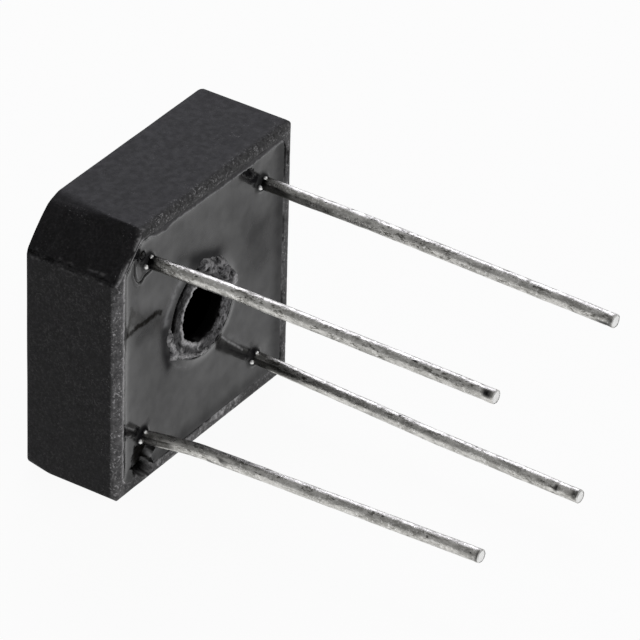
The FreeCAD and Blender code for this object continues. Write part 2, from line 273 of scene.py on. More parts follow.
def depthInside(x, z, corners):
    # how far each place lies inside a shape with these corners, less than zero outside it
    inside = np.zeros(len(x), dtype=bool)
    for (startX, startZ), (endX, endZ) in zip(corners, corners[1:] + corners[:1]):
        crosses = (startZ > z) != (endZ > z)
        slope = (endX - startX) / (endZ - startZ) if endZ != startZ else 0.0
        inside ^= crosses & (x < startX + (z - startZ) * slope)
    return np.where(inside, 1.0, -1.0) * distanceToLine(x, z, corners + corners[:1])


# inner outline of the case's wall: a square with small corner radii and one corner cut; and which way round
# the tube, in degrees, its collar is torn
cavity = {
    "half": 6.92,
    "cutLine": 12.45,
    "cornerRadius": 0.45,
    "tornSide": 140.0,
}


def wallDistance(x, z):
    # how far each place lies inside the wall, less than zero over its lip
    fromSide = cavity["half"] - np.abs(x)
    fromEnd = cavity["half"] - np.abs(z)
    radius = cavity["cornerRadius"]
    rounded = radius - np.hypot(radius - fromSide, radius - fromEnd)
    square = np.where(np.maximum(fromSide, fromEnd) < radius, rounded, np.minimum(fromSide, fromEnd))
    return np.minimum(square, (cavity["cutLine"] - (z - x)) / math.sqrt(2.0))


# black plastic case: a shallow cup with one corner cut and a tube round the screw hole. Depths count from the
# base face. cutRims: axis, sign, and the edge's radius at the rim and at the base. lipLightTones: a side's direction
# and how much paler its lip is painted, for wear and as painted light on that side. tornEdgesAndGlints: points, width
# and strength of white torn edges and painted glints, and gashes of dark ones.
caseShape = {
    "width": 15.24,
    "depth": 5.6,
    "floor": 1.0,
    "wall": 0.7,
    "cutCorner": 2.2,
    "corners": [(1, 1, 0.2), (1, -1, 0.2), (-1, -1, 0.14)],
    "insideRadius": 0.45,
    "insideCutRadius": 0.2,
    "holeRadius": 1.8,
    "tubeRadius": 2.7,
    "tubeFoot": 0.6,
    "meshStep": 0.095,
    "keptShare": 0.62,
    "hiddenDepths": (0.9, 4.6),
    "cutRims": [(2, 1.0, 0.16, 2.1), (0, -1.0, 0.12, 0.9)],
    "cutSwell": 0.12,
    "rimRounds": {"top": 0.4, "left": 0.42, "right": 0.15, "bottom": 0.06, "cut": 0.12},
    "baseRound": 0.45,
    "cornerRound": 0.14,
    "lowCornerRound": 0.6,
    "waviness": 0.01,
    "rimWaviness": 0.022,
    "rimDepths": (5.15, 5.5),
    "mouthWaviness": 0.1,
    "mouthRadii": (2.75, 3.0),
    "lipTopDepths": (5.38, 5.55),
    "lipLightTones": [(-1.0, 0.0, 1.0), (0.0, 1.0, 0.36), (1.0, 0.0, 0.6), (0.0, -1.0, 0.5)],
    # how much paler the low lip is painted along X: painted light from the floor
    "lowLipLightTones": [
        (-8.0, 0.1), (-4.4, 0.15), (-4.0, 0.5), (-0.6, 0.45), (0.2, 0.3),
        (1.0, 0.35), (1.3, 1.0), (3.2, 0.8), (3.5, 0.05), (8.0, 0.0),
    ],
    "roundedRimWearAndHighlight": 0.34,
    "seamCrack": 0.75,
    "seamPale": 0.1,
    "seamDepth": 5.45,
    "gashes": [
        ([(-3.85, -6.95), (-3.05, -6.95)], 0.07, 1.0),
        ([(6.75, 6.75), (7.0, 6.45), (7.12, 6.1), (7.1, 5.75)], 0.07, 1.0),
        ([(7.3, 5.9), (7.34, 5.5), (7.28, 5.2)], 0.07, 1.0),
    ],
    "chip": [
        (-5.85, -6.6), (-5.75, -6.95), (-5.3, -7.3), (-4.95, -7.46), (-4.75, -7.46), (-4.6, -7.16), (-4.5, -6.6),
    ],
    "chipDepth": 0.6,
    "chipLowest": 4.2,
    "tornEdgesAndGlints": [
        ([(0.41, -1.56), (-0.18, -1.78), (-0.42, -2.13)], 0.07, 0.8),
        ([
            (-2.65, -1.5), (-2.25, -1.6), (-1.92, -1.88), (-1.44, -2.05), (-0.75, -2.39), (-0.26, -2.52),
            (0.23, -2.61),
        ], 0.1, 1.0),
        ([(0.63, -2.58), (1.21, -2.52), (1.6, -2.32)], 0.05, 0.75),
        ([(-3.06, -0.25), (-2.87, -0.55), (-2.56, -1.12)], 0.12, 1.0),
        ([(-2.65, -1.61), (-2.22, -1.44)], 0.11, 1.0),
        ([(-1.86, -0.54), (-1.81, -0.87), (-1.76, -1.14)], 0.08, 0.8),
        ([(-1.93, -1.35), (-1.84, -1.77)], 0.07, 0.7),
        ([(1.88, -1.23), (2.08, -1.95)], 0.09, 0.45),
        ([(1.53, -1.54), (1.7, -1.1)], 0.07, 0.4),
        ([(2.05, 0.3), (2.2, -0.4)], 0.12, 0.35),
        ([(2.58, 0.78), (2.59, 0.35)], 0.2, 1.0),
        ([(2.93, 0.84), (2.89, 0.55)], 0.05, 0.8),
        ([(-0.1, 2.87), (-0.09, 2.45)], 0.05, 0.9),
        ([(0.25, 2.9), (0.4, 2.82)], 0.06, 0.7),
        ([(-4.5, -6.7), (-4.62, -7.1), (-4.75, -7.4)], 0.07, 0.8),
        ([(-5.3, -6.9), (-5.05, -7.4)], 0.12, 0.35),
    ],
}


def pickTornEdgesAndGlints(x, z):
    # white ragged edges of torn plastic, and painted glints on the flash and in the chip
    flat = onFace(x, z)
    stray = 0.05 * unevenness(flat, 0.16, 61, 2)
    return drawLines(x, z, caseShape["tornEdgesAndGlints"], stray) * speckle(flat, 0.13, 62, 2, -0.95, -0.35)


def addCase(values):
    half = values["width"] / 2
    depth = values["depth"]
    bpy.ops.mesh.primitive_cube_add(
        size=1.0, location=(0.0, -depth / 2 * mm, 0.0), scale=(2 * half * mm, depth * mm, 2 * half * mm)
    )
    case = settle(bpy.context.object, "case_shell")

    def upright(start, end):
        return abs(start.x - end.x) + abs(start.z - end.z) < 0.001

    def outside(place):
        return max(abs(place.x), abs(place.z)) > half - 0.01

    def nearCut(place):
        return place.z - place.x > 2 * half - values["cutCorner"] - 1.2

    openEdit(case, "EDGE", lambda start, end: upright(start, end) and start.x < 0 < start.z)
    bpy.ops.mesh.bevel(offset=values["cutCorner"] * mm, segments=1, affect="EDGES")
    closeEdit()
    openEdit(case, "FACE", lambda centre, normal: normal.y < -0.9)
    bpy.ops.mesh.inset(thickness=values["wall"] * mm)
    closeEdit()

    # the wall is thinner along the cut corner
    inner = half - values["wall"]
    slide = cavity["cutLine"] - (2 * half - values["cutCorner"] - values["wall"] * math.sqrt(2.0))
    cutEnds = [
        (Vector((-inner, -depth, cavity["cutLine"] - inner)), Vector((0.0, 0.0, 1.0))),
        (Vector((inner - cavity["cutLine"], -depth, inner)), Vector((-1.0, 0.0, 0.0))),
    ]
    for end, direction in cutEnds:
        openEdit(case, "VERT", lambda place: (place - end).length < 0.5 and not outside(place))
        bpy.ops.transform.translate(value=direction * slide * mm)
        closeEdit()

    # the cup is hollowed out, its upright edges are rounded, and the tube stands in it
    openEdit(case, "FACE", lambda centre, normal: normal.y < -0.9 and max(abs(centre.x), abs(centre.z)) < 3.0)
    extrude((0.0, depth - values["floor"], 0.0))
    closeEdit()

    def roundEdges(test, radius):
        openEdit(case, "EDGE", lambda start, end: upright(start, end) and test(start))
        bpy.ops.mesh.bevel(offset=radius * mm, segments=4, affect="EDGES")
        closeEdit()

    for signX, signZ, radius in values["corners"]:
        roundEdges(lambda place: outside(place) and min(place.x * signX, place.z * signZ) > 7.0, radius)
    roundEdges(lambda place: not outside(place) and not nearCut(place), values["insideRadius"])
    roundEdges(lambda place: not outside(place) and nearCut(place), values["insideCutRadius"])
    cutWith(case, rod("tube", values["tubeRadius"], values["tubeFoot"], depth), "UNION")
    cutWith(case, rod("bore", values["holeRadius"], -0.5, depth + 0.5), "DIFFERENCE")
    applyModifier(case, "REMESH", mode="VOXEL", voxel_size=values["meshStep"] * mm)
    thinInside(case, values)
    roughenCase(case, values)
    return case


def thinInside(case, values):
    # the walls and floor that the resin hides need few faces
    places = readPlaces(case)
    x, out, z = places[:, 0], -places[:, 1], places[:, 2]
    low, high = values["hiddenDepths"]
    inWalls = np.maximum(np.abs(x), np.abs(z)) < cavity["half"] + 0.05
    hidden = (out > low) & (out < high) & inWalls & (np.hypot(x, z) > 2.4)
    group = case.vertex_groups.new(name="hidden")
    group.add([int(i) for i in np.flatnonzero(hidden)], 1.0, "REPLACE")
    applyModifier(case, "DECIMATE", ratio=values["keptShare"], vertex_group="hidden")


def softenCut(places, values):
    # the cut corner is crisp at the rim, and swells and rounds off toward the base
    half = values["width"] / 2
    line = (2.0 * half - values["cutCorner"]) * diagonal
    share = smoothStep(-places[:, 1], 0.0, 4.2)
    fromCut = line - (places[:, 2] - places[:, 0]) * diagonal
    across = (places[:, 0] + places[:, 2]) * diagonal / (values["cutCorner"] * diagonal)
    swell = values["cutSwell"] * (1.0 - share) * np.clip(1.0 - across ** 2, 0.0, 1.0) * (fromCut < 0.2)
    for axis, sign, rimRadius, baseRadius in values["cutRims"]:
        radius = baseRadius + (rimRadius - baseRadius) * share
        toFlat = radius - (half - sign * places[:, axis])
        toCut = radius - (line - (places[:, 2] - places[:, 0]) * diagonal)
        flatPart = (toFlat - diagonal * toCut) * 2.0
        cutPart = (toCut - diagonal * toFlat) * 2.0
        reach = np.sqrt(np.clip(flatPart * toFlat + cutPart * toCut, 1e-9, None))
        beyond = (flatPart > 0.0) & (cutPart > 0.0) & (reach > radius)
        pull = np.where(beyond, radius / reach - 1.0, 0.0)
        places[:, axis] += pull * flatPart * sign
        places[:, 0] -= pull * cutPart * diagonal
        places[:, 2] += pull * cutPart * diagonal
    places[:, 0] -= swell * diagonal
    places[:, 2] += swell * diagonal


def roundRims(places, values):
    # the rim's outer edge is well rounded at the top and the left; between two sides the radius blends
    half = values["width"] / 2
    rounds = values["rimRounds"]
    x, out, z = places[:, 0].copy(), -places[:, 1], places[:, 2].copy()
    sides = [
        (half - z, rounds["top"], 0.0, 1.0),
        (half + x, rounds["left"], -1.0, 0.0),
        (half - x, rounds["right"], 1.0, 0.0),
        (half + z, rounds["bottom"], 0.0, -1.0),
        ((2.0 * half - values["cutCorner"] - (z - x)) * diagonal, rounds["cut"], -diagonal, diagonal),
    ]
    total, radius, towardX, towardZ = np.zeros((4, len(x)))
    room = np.full(len(x), 1e9)
    for distance, size, sideX, sideZ in sides:
        distance = np.clip(distance, 0.0, None)
        weight = (distance + 0.05) ** -4.0
        total += weight
        radius += weight * size
        towardX += weight * sideX
        towardZ += weight * sideZ
        room = np.minimum(room, distance)
    radius /= total
    length = np.hypot(towardX, towardZ)
    toSide, toRim = radius - room, radius - (values["depth"] - out)
    pull = pullBack(toSide, toRim, radius)
    places[:, 0] -= pull * toSide * towardX / length
    places[:, 2] -= pull * toSide * towardZ / length
    places[:, 1] += pull * toRim

    # so is the base's right edge
    radius = values["baseRound"]
    toSide, toBase = radius - (half - x), radius - out
    pull = pullBack(toSide, toBase, radius)
    places[:, 0] -= pull * toSide
    places[:, 1] -= pull * toBase

    # the lower left corner is knocked off near the base
    radius = values["cornerRound"] + values["lowCornerRound"] * (1.0 - smoothStep(out, -0.6, 1.8))
    toLeft, toLow = radius - (half + x), radius - (half + z)
    pull = pullBack(toLeft, toLow, radius)
    places[:, 0] += pull * toLeft
    places[:, 2] += pull * toLow


def roughenCase(case, values):
    # the moulding isn't true: its faces swim a little, and its lip is ragged
    places = readPlaces(case)
    normals = readNormals(case)
    softenCut(places, values)
    x, out, z = places[:, 0].copy(), -places[:, 1], places[:, 2].copy()
    roundRims(places, values)
    fromAxis = np.hypot(x, z)
    rim = smoothStep(out, *values["rimDepths"])
    inwards = 1.0 - smoothStep(-wallDistance(x, z), 0.35, 0.6)
    push = values["waviness"] * (unevenness(places, 2.4, 1) - 0.15)
    push += values["rimWaviness"] * rim * (0.25 + 0.75 * inwards) * unevenness(places, 0.42, 2, 3)
    places += normals * push[:, None]

    # the tube's mouth is torn
    mouth = rim * (1.0 - smoothStep(fromAxis, *values["mouthRadii"]))
    angle = np.arctan2(z, x)
    ring = onFace(np.cos(angle), np.sin(angle)) * values["holeRadius"]
    torn = unevenness(ring, 0.33, 3, 4)
    inner = mouth * (1.0 - smoothStep(fromAxis, values["holeRadius"], 2.35))
    places[:, 0] += np.cos(angle) * inner * values["mouthWaviness"] * (torn - 0.2)
    places[:, 2] += np.sin(angle) * inner * values["mouthWaviness"] * (torn - 0.2)
    places[:, 1] += mouth * values["mouthWaviness"] * (0.5 + unevenness(places, 0.3, 4, 3))

    # a chip is broken out of the lip
    chipped = depthInside(x, z, values["chip"]) + 0.1 * unevenness(places, 0.35, 5, 2)
    chipped = smoothStep(chipped, -0.02, 0.1)
    chipDepth = values["chipDepth"] + 0.15 * unevenness(places, 0.5, 6, 2)
    sunk = chipped * np.clip(out - (values["depth"] - chipDepth), 0.0, 1.0)
    places[:, 1] += np.where(out > values["chipLowest"], sunk, 0.0)

    low, high = [np.array(corner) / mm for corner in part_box("case")]
    writePlaces(case, np.clip(places, low, high))
    paintCase(case, values, places, normals, (x, out, z), ring, mouth, chipped)


def paintCase(case, values, places, normals, plainPlaces, ring, mouth, chipped):
    # numbers that the plastic's finish reads: they follow the plain shape, and their noise the rough one
    half = values["width"] / 2
    x, out, z = plainPlaces
    fromAxis = np.hypot(x, z)
    overLip = -wallDistance(x, z)
    top = smoothStep(out, *values["lipTopDepths"]) * (fromAxis > 3.5)
    onCut = smoothStep(z - x, cavity["cutLine"] - 0.1, cavity["cutLine"])
    cutEnd = half - values["cutCorner"]
    seam = np.hypot(x + half, z - cutEnd) + 0.1 * unevenness(places, 0.3, 10, 3)
    angle = np.degrees(np.arctan2(z, x))
    fromTornSide = np.abs(angle - cavity["tornSide"]) + 8.0 * unevenness(ring, 0.4, 69)

    def wornAndLitLip():
        # each side of the lip is painted paler by its own amount, for wear and as painted light on that side, and the
        # rounded outer edge a little all round, as wear and a painted highlight
        strip = np.maximum(top, smoothStep(out, 5.15, 5.34) * (x < -7.5) * (z - x < 12.9))
        tone = np.zeros(len(x))
        for towardX, towardZ, amount in values["lipLightTones"]:
            tone = np.maximum(tone, amount * smoothStep(x * towardX + z * towardZ, 6.7, 7.1))
        tone = tone * (1.0 - 0.5 * onCut)
        tone = np.where((z < -6.8) & (x > -4.3) & (x < 3.4), 1.0, tone)
        tone = strip * tone * (0.8 + 0.35 * unevenness(places, 0.6, 7, 3))
        topEdge = smoothStep(z, 7.2, 7.5)
        roundedRimWearAndHighlight = bell(np.hypot(values["depth"] - out, overLip - values["wall"]), 0.13 + 0.19 * topEdge)
        broken = smoothStep(unevenness(places, 0.8, 14, 3) + 0.7 * topEdge, -0.6, 0.1)
        return np.maximum(tone, values["roundedRimWearAndHighlight"] * roundedRimWearAndHighlight * broken)

    def paleLines():
        # pale lines: a painted highlight inside the lip, a pale line along the cut, the low lip painted paler as
        # painted light from the floor, a pale line at the tube's mouth, the seam, and the torn edges with their painted
        # glints
        pale = bell(overLip - 0.06, 0.085) * speckle(places, 0.3, 9, 3, -0.8, -0.1)
        pale *= np.where((x > 6.5) | (z < -6.8), 0.15, 1.0) * np.where((z > 6.6) & (onCut < 0.5), 0.0, 1.0)
        fromCut = (values["width"] - values["cutCorner"] - (z - x)) * diagonal
        ends = smoothStep(cutEnd - x, 0.0, 0.5) * smoothStep(cutEnd + z, 0.0, 0.5)
        cutLine = 0.35 * ends * bell(fromCut - 0.07, 0.045) * onCut * speckle(places, 0.5, 63, 3, -0.6, 0.1)
        # the low lip painted paler: painted light from the floor
        lowTone = smoothStep(-z, 6.85, 7.0) * np.interp(x, *zip(*values["lowLipLightTones"]))
        lowLip = lowTone * smoothStep(unevenness(places, 0.3, 15, 3) - 0.9 * (overLip - 0.15), -0.25, 0.35)
        mouthLine = 1.3 * bell(fromAxis - 1.9 + 0.1 * unevenness(ring, 0.2, 75, 2), 0.11)
        mouthLine *= smoothStep(-x, 0.2, 1.0) * speckle(places, 0.3, 16, 3, -0.9, -0.3)
        seamPale = values["seamPale"] * bell(seam - 0.25, 0.06) * speckle(places, 0.6, 72, 3, 0.0, 0.4)
        lines = top * (1.0 - chipped) * np.maximum(1.5 * np.maximum(pale, cutLine), lowLip)
        lines += seamPale * (out < values["seamDepth"]) + mouth * mouthLine
        return lines + pickTornEdgesAndGlints(x, z) * (out > 5.0)

    def darkLines():
        # the seam, gashes, the chip painted near black as painted shade, the lip's right and lower edges, and the
        # torn layers of the tube's collar
        seamCrack = values["seamCrack"] * bell(seam - 0.1, 0.06) * speckle(places, 0.5, 8, 3, -0.4, 0.1)
        gashes = top * drawLines(x, z, values["gashes"], 0.03 * unevenness(places, 0.2, 11))
        # the chip is painted near black: painted shade in the hollow
        inChip = 0.95 * chipped * speckle(places, 0.3, 76, 2, -0.9, -0.3)
        crack = np.maximum(np.maximum(seamCrack * (out < values["seamDepth"]), gashes), inChip)
        rightEdge = bell(overLip - 0.12, 0.09) * (x > 6.5) * speckle(places, 0.9, 12, 3, 0.0, 0.3)
        lowEdge = bell(overLip - 0.06 + 0.06 * unevenness(places, 0.3, 64, 2), 0.1)
        lowEdge *= (z < -6.5) * (x > -4.4) * (x < 0.8) * speckle(places, 0.5, 13, 3, -0.5, -0.1)
        outerLine = bell(fromAxis - 2.66, 0.1) * smoothStep(fromTornSide, 70.0, 40.0)
        layers = 0.6 * bell(fromAxis - 2.46, 0.07) + 0.4 * bell(fromAxis - 2.12, 0.07)
        layers *= smoothStep(fromTornSide, 85.0, 50.0) * speckle(ring, 0.25, 74, 3, -0.7, 0.1)
        splits = bell(fromAxis - 2.35 - 0.12 * unevenness(ring, 0.4, 17), 0.06)
        splits *= speckle(ring, 0.35, 18, 2, 0.0, 0.25)
        return crack + top * (rightEdge + lowEdge) + mouth * (splits + outerLine + layers)

    # the lip is painted paler for wear and as painted light on each side
    paint(case, "lip", (1.0 - chipped) * wornAndLitLip())
    # pale lines, partly painted highlights and glints
    paint(case, "edge", np.clip(paleLines(), 0.0, 1.0))
    paint(case, "crack", np.clip(darkLines(), 0.0, 1.0))
    cutCornerTop = bell(np.hypot(x + cutEnd, z - half), 0.5)
    paint(case, "nearLip", (1.0 - chipped) * np.maximum(smoothStep(out, 3.2, 5.5), cutCornerTop))
    facingCut = smoothStep((normals[:, 2] - normals[:, 0]) * diagonal, 0.9, 0.98)
    paint(case, "grain", (1.0 - 0.9 * smoothStep(normals[:, 2], 0.8, 0.95)) * (1.0 - 0.6 * facingCut))
    # the bore is painted near black: painted shade in the hole
    paint(case, "bore", smoothStep(-fromAxis, -2.0, -1.9) * (out < 5.48))
    ragged = 0.5 - 0.15 * smoothStep(-x, 0.8, 1.8) + 0.4 * smoothStep(x, 0.5, 1.5)
    ragged += 0.3 * unevenness(places, 0.5, 19, 2)
    inChip = np.where(out > values["chipLowest"], 0.04 * chipped, 0.0)
    paint(case, "torn", np.clip(np.maximum(mouth * ragged, inChip), 0.0, 1.0))


case = addCase(caseShape)
print("case shell has", len(case.data.polygons), "faces")


# four tinned leads, each with a flat head on its plate: root and tip as in the solid model. beads, bright
# stand-ins for the highlights at the roots: direction from the lead, distance, radius and depth. Each lead has its
# root in X and Z, its lean, its straight run, its tip's lean, the distance from the tip of a shallow ring, how far
# its stain and dark foot go, and dark marks: distance from the tip, direction round the wire, half length, half turn
# and strength. Angles are in degrees.
leadShape = {
    "radius": 0.368,
    "headRadius": 0.65,
    "headThickness": 0.35,
    "leanDirection": 51.5,
    "rootBend": 3.0,
    "bendStart": 5.3,
    "kneeBend": 20.0,
    "rim": 5.6,
    "sides": 40,
    "meshStep": 0.11,
    "tipEdge": 0.09,
    "tipRings": 0.1,
    "coatWaviness": 0.014,
    "lumps": 0.022,
    "ringDepth": 0.02,
    "beads": [(105.0, 0.42, 0.11, 5.68), (188.0, 0.41, 0.145, 5.57)],
    "beadWaviness": 0.02,
}
leads = {
    "lead_plus": {
        "root": (-4.74, 5.38), "seat": 1.58, "reach": 20.5, "lean": 1.2, "run": 4.6, "tipLean": -0.35,
        "ring": 0.62, "stain": 1.4, "foot": 0.45, "seed": 1,
        "marks": [(0.42, 142.0, 0.26, 34.0, 1.0)],
    },
    "lead_minus": {
        "root": (4.84, -5.45), "seat": 1.58, "reach": 20.1, "lean": -1.9, "run": 11.6, "tipLean": -0.8,
        "ring": 1.2, "stain": 5.5, "foot": 0.16, "seed": 2,
        "marks": [(1.3, 150.0, 0.12, 32.0, 1.0), (0.2, 145.0, 0.14, 42.0, 0.85)],
    },
    "lead_ac_1": {
        "root": (5.28, 4.98), "seat": 2.52, "reach": 21.2, "lean": 0.15, "run": 6.6, "tipLean": -0.9,
        "ring": 0.35, "stain": 3.2, "foot": 0.35, "seed": 3,
        "marks": [(0.5, 203.0, 0.5, 20.0, 0.95), (0.2, 165.0, 0.16, 34.0, 0.7)],
    },
    "lead_ac_2": {
        "root": (-5.12, -4.97), "seat": 2.52, "reach": 20.0, "lean": 8.0, "run": 1.5, "tipLean": 1.4,
        "ring": 0.4, "stain": 3.0, "patch": 4.3, "foot": 0.12, "seed": 4,
        "marks": [(0.13, 160.0, 0.08, 60.0, 0.9), (0.32, 190.0, 0.2, 22.0, 0.5)],
    },
}


def addLead(name, values, shape):
    x, z = values["root"]
    turn = math.radians(shape["leanDirection"])
    heading = Vector((0.0, -1.0, 0.0))
    axis = heading.cross(Vector((math.cos(turn), 0.0, math.sin(turn))))
    headTop = values["seat"] + shape["headThickness"]
    wire = rod(name + "_wire", shape["headRadius"], values["seat"], headTop, x, z, shape["sides"])
    openEdit(wire, "FACE", lambda centre, normal: normal.y < -0.9)
    bpy.ops.mesh.inset(thickness=(shape["headRadius"] - shape["radius"]) * mm)

    def bend(place, heading, change, radius):
        # turns the end face about a point beside the wire
        centre = place + axis.cross(heading) * math.copysign(radius, change)
        steps = max(1, round(abs(change) * radius / shape["meshStep"]))
        bpy.ops.mesh.spin(steps=steps, angle=-change, center=centre * mm, axis=axis)
        whole = Matrix.Rotation(change, 3, axis)
        return centre + whole @ (place - centre), whole @ heading

    lean = math.radians(values["lean"])
    tipLean = math.radians(values["tipLean"])
    runs = [shape["bendStart"] - headTop, values["run"]]
    bends = [(lean, shape["rootBend"]), (tipLean - lean, shape["kneeBend"])]
    place = Vector((x, -headTop, z))
    for run, (change, radius) in zip(runs, bends):
        extrude(heading * run)
        place, heading = bend(place + heading * run, heading, change, radius)
    runs.append((-shape["rim"] - values["reach"] - place.y) / heading.y)
    extrude(heading * runs[-1])
    bpy.ops.mesh.bevel(offset=shape["tipEdge"] * mm, segments=2, affect="EDGES")
    for ring in range(2):
        bpy.ops.mesh.inset(thickness=shape["tipRings"] * mm)
    closeEdit()

    # the straight runs are cut as finely as the bends
    for run in runs:
        openEdit(wire, "EDGE", lambda start, end: abs((start - end).length - run) < shape["tipEdge"] + 0.03)
        bpy.ops.mesh.subdivide(number_cuts=round(run / shape["meshStep"]) - 1)
        closeEdit()
    coatLead(wire, values, shape)
    addHighlightBeads(wire, values, shape)
    return wire


def addHighlightBeads(wire, values, shape):
    # two small bright beads sit on the resin against each lead: they stand in for the highlights at the roots
    x, z = values["root"]
    beads = []
    for turn, away, radius, level in shape["beads"]:
        turn = math.radians(turn)
        place = Vector((x + math.cos(turn) * away, -level, z + math.sin(turn) * away)) * mm
        bpy.ops.mesh.primitive_uv_sphere_add(segments=20, ring_count=12, radius=radius * mm, location=place)
        bead = settle(bpy.context.object, wire.name + "_bead")
        places = readPlaces(bead)
        places += readNormals(bead) * shape["beadWaviness"] * unevenness(places, 0.12, values["seed"] + 50)[:, None]
        writePlaces(bead, places)
        # the bead is painted as bright as a cut end: a painted highlight
        paint(bead, "endFace", np.ones(len(places)))
        beads.append(bead)
    makeActive(wire)
    for bead in beads:
        bead.select_set(True)
    bpy.ops.object.join()


def coatLead(wire, values, shape):
    # the dipped coat is uneven: long runs, small lumps, and a ring near the tip where the wire was gripped
    seed = values["seed"]
    places = readPlaces(wire)
    normals = readNormals(wire)
    fromRim = -places[:, 1] - shape["rim"]
    fromTip = values["reach"] - fromRim
    bare = smoothStep(fromRim, 0.1, 1.0)
    side = smoothStep(fromTip, 0.0, 0.12)
    stretched = places * (1.0, 0.4, 1.0)
    push = shape["coatWaviness"] * unevenness(stretched, 0.9, seed, 2)
    lumps = unevenness(stretched, 0.28, seed + 10, 2)
    push += shape["lumps"] * np.clip(lumps - 0.25, 0.0, 1.0)
    push -= shape["lumps"] * 0.6 * np.clip(-lumps - 0.35, 0.0, 1.0)
    ring = bell(fromTip - values["ring"], 0.07)
    push -= shape["ringDepth"] * ring * speckle(places, 0.5, seed + 20, 1, -0.5, 0.3)
    places += normals * (push * bare * side)[:, None]
    places[:, 1] += (1.0 - side) * 0.02 * (1.0 + unevenness(places, 0.25, seed + 30, 2))
    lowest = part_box(wire.name.removesuffix("_wire"))[0][1] / mm
    places[:, 1] = np.maximum(places[:, 1], lowest)
    writePlaces(wire, places)

    # numbers that the tin's finish reads: a dark stain from the root on, less below and above the wire, a
    # foot of flux, the marks and the bright cut end
    ragged = 0.12 * unevenness(stretched, 0.3, seed + 70, 3)
    under = smoothStep(-normals[:, 2] + ragged, 0.25, 0.6)
    above = smoothStep(normals[:, 2] + ragged, 0.4, 0.65)
    stain = 1.0 - smoothStep(fromRim, 0.3, values["stain"])
    stain *= (1.0 - 0.75 * under) * (1.0 - 0.9 * above)
    if "patch" in values:
        patch = bell(fromRim - values["patch"], 0.9) * speckle(stretched, 0.35, 73, 3, 0.0, 0.4)
        stain = np.maximum(stain, 0.8 * patch * (1.0 - 0.6 * above))
    paint(wire, "stain", stain)
    footEdge = fromRim + 0.12 * unevenness(places, 0.3, seed + 60)
    paint(wire, "foot", 1.0 - smoothStep(footEdge, values["foot"] - 0.2, values["foot"]))
    turn = np.degrees(np.arctan2(normals[:, 2], normals[:, 0])) % 360.0
    cutMark = np.zeros(len(places))
    for away, aim, halfLength, halfTurn, amount in values["marks"]:
        mark = bell(fromTip - away, halfLength, 4) * bell(turn - aim, halfTurn, 4)
        cutMark = np.maximum(cutMark, amount * mark)
    paint(wire, "cutMark", cutMark * speckle(places, 0.25, seed + 40, 2, -1.1, -0.5))
    paint(wire, "endFace", 1.0 - smoothStep(fromTip, 0.015, 0.05))


wires = {name: addLead(name, values, leadShape) for name, values in leads.items()}
print("leads have", [len(wire.data.polygons) for wire in wires.values()], "faces")
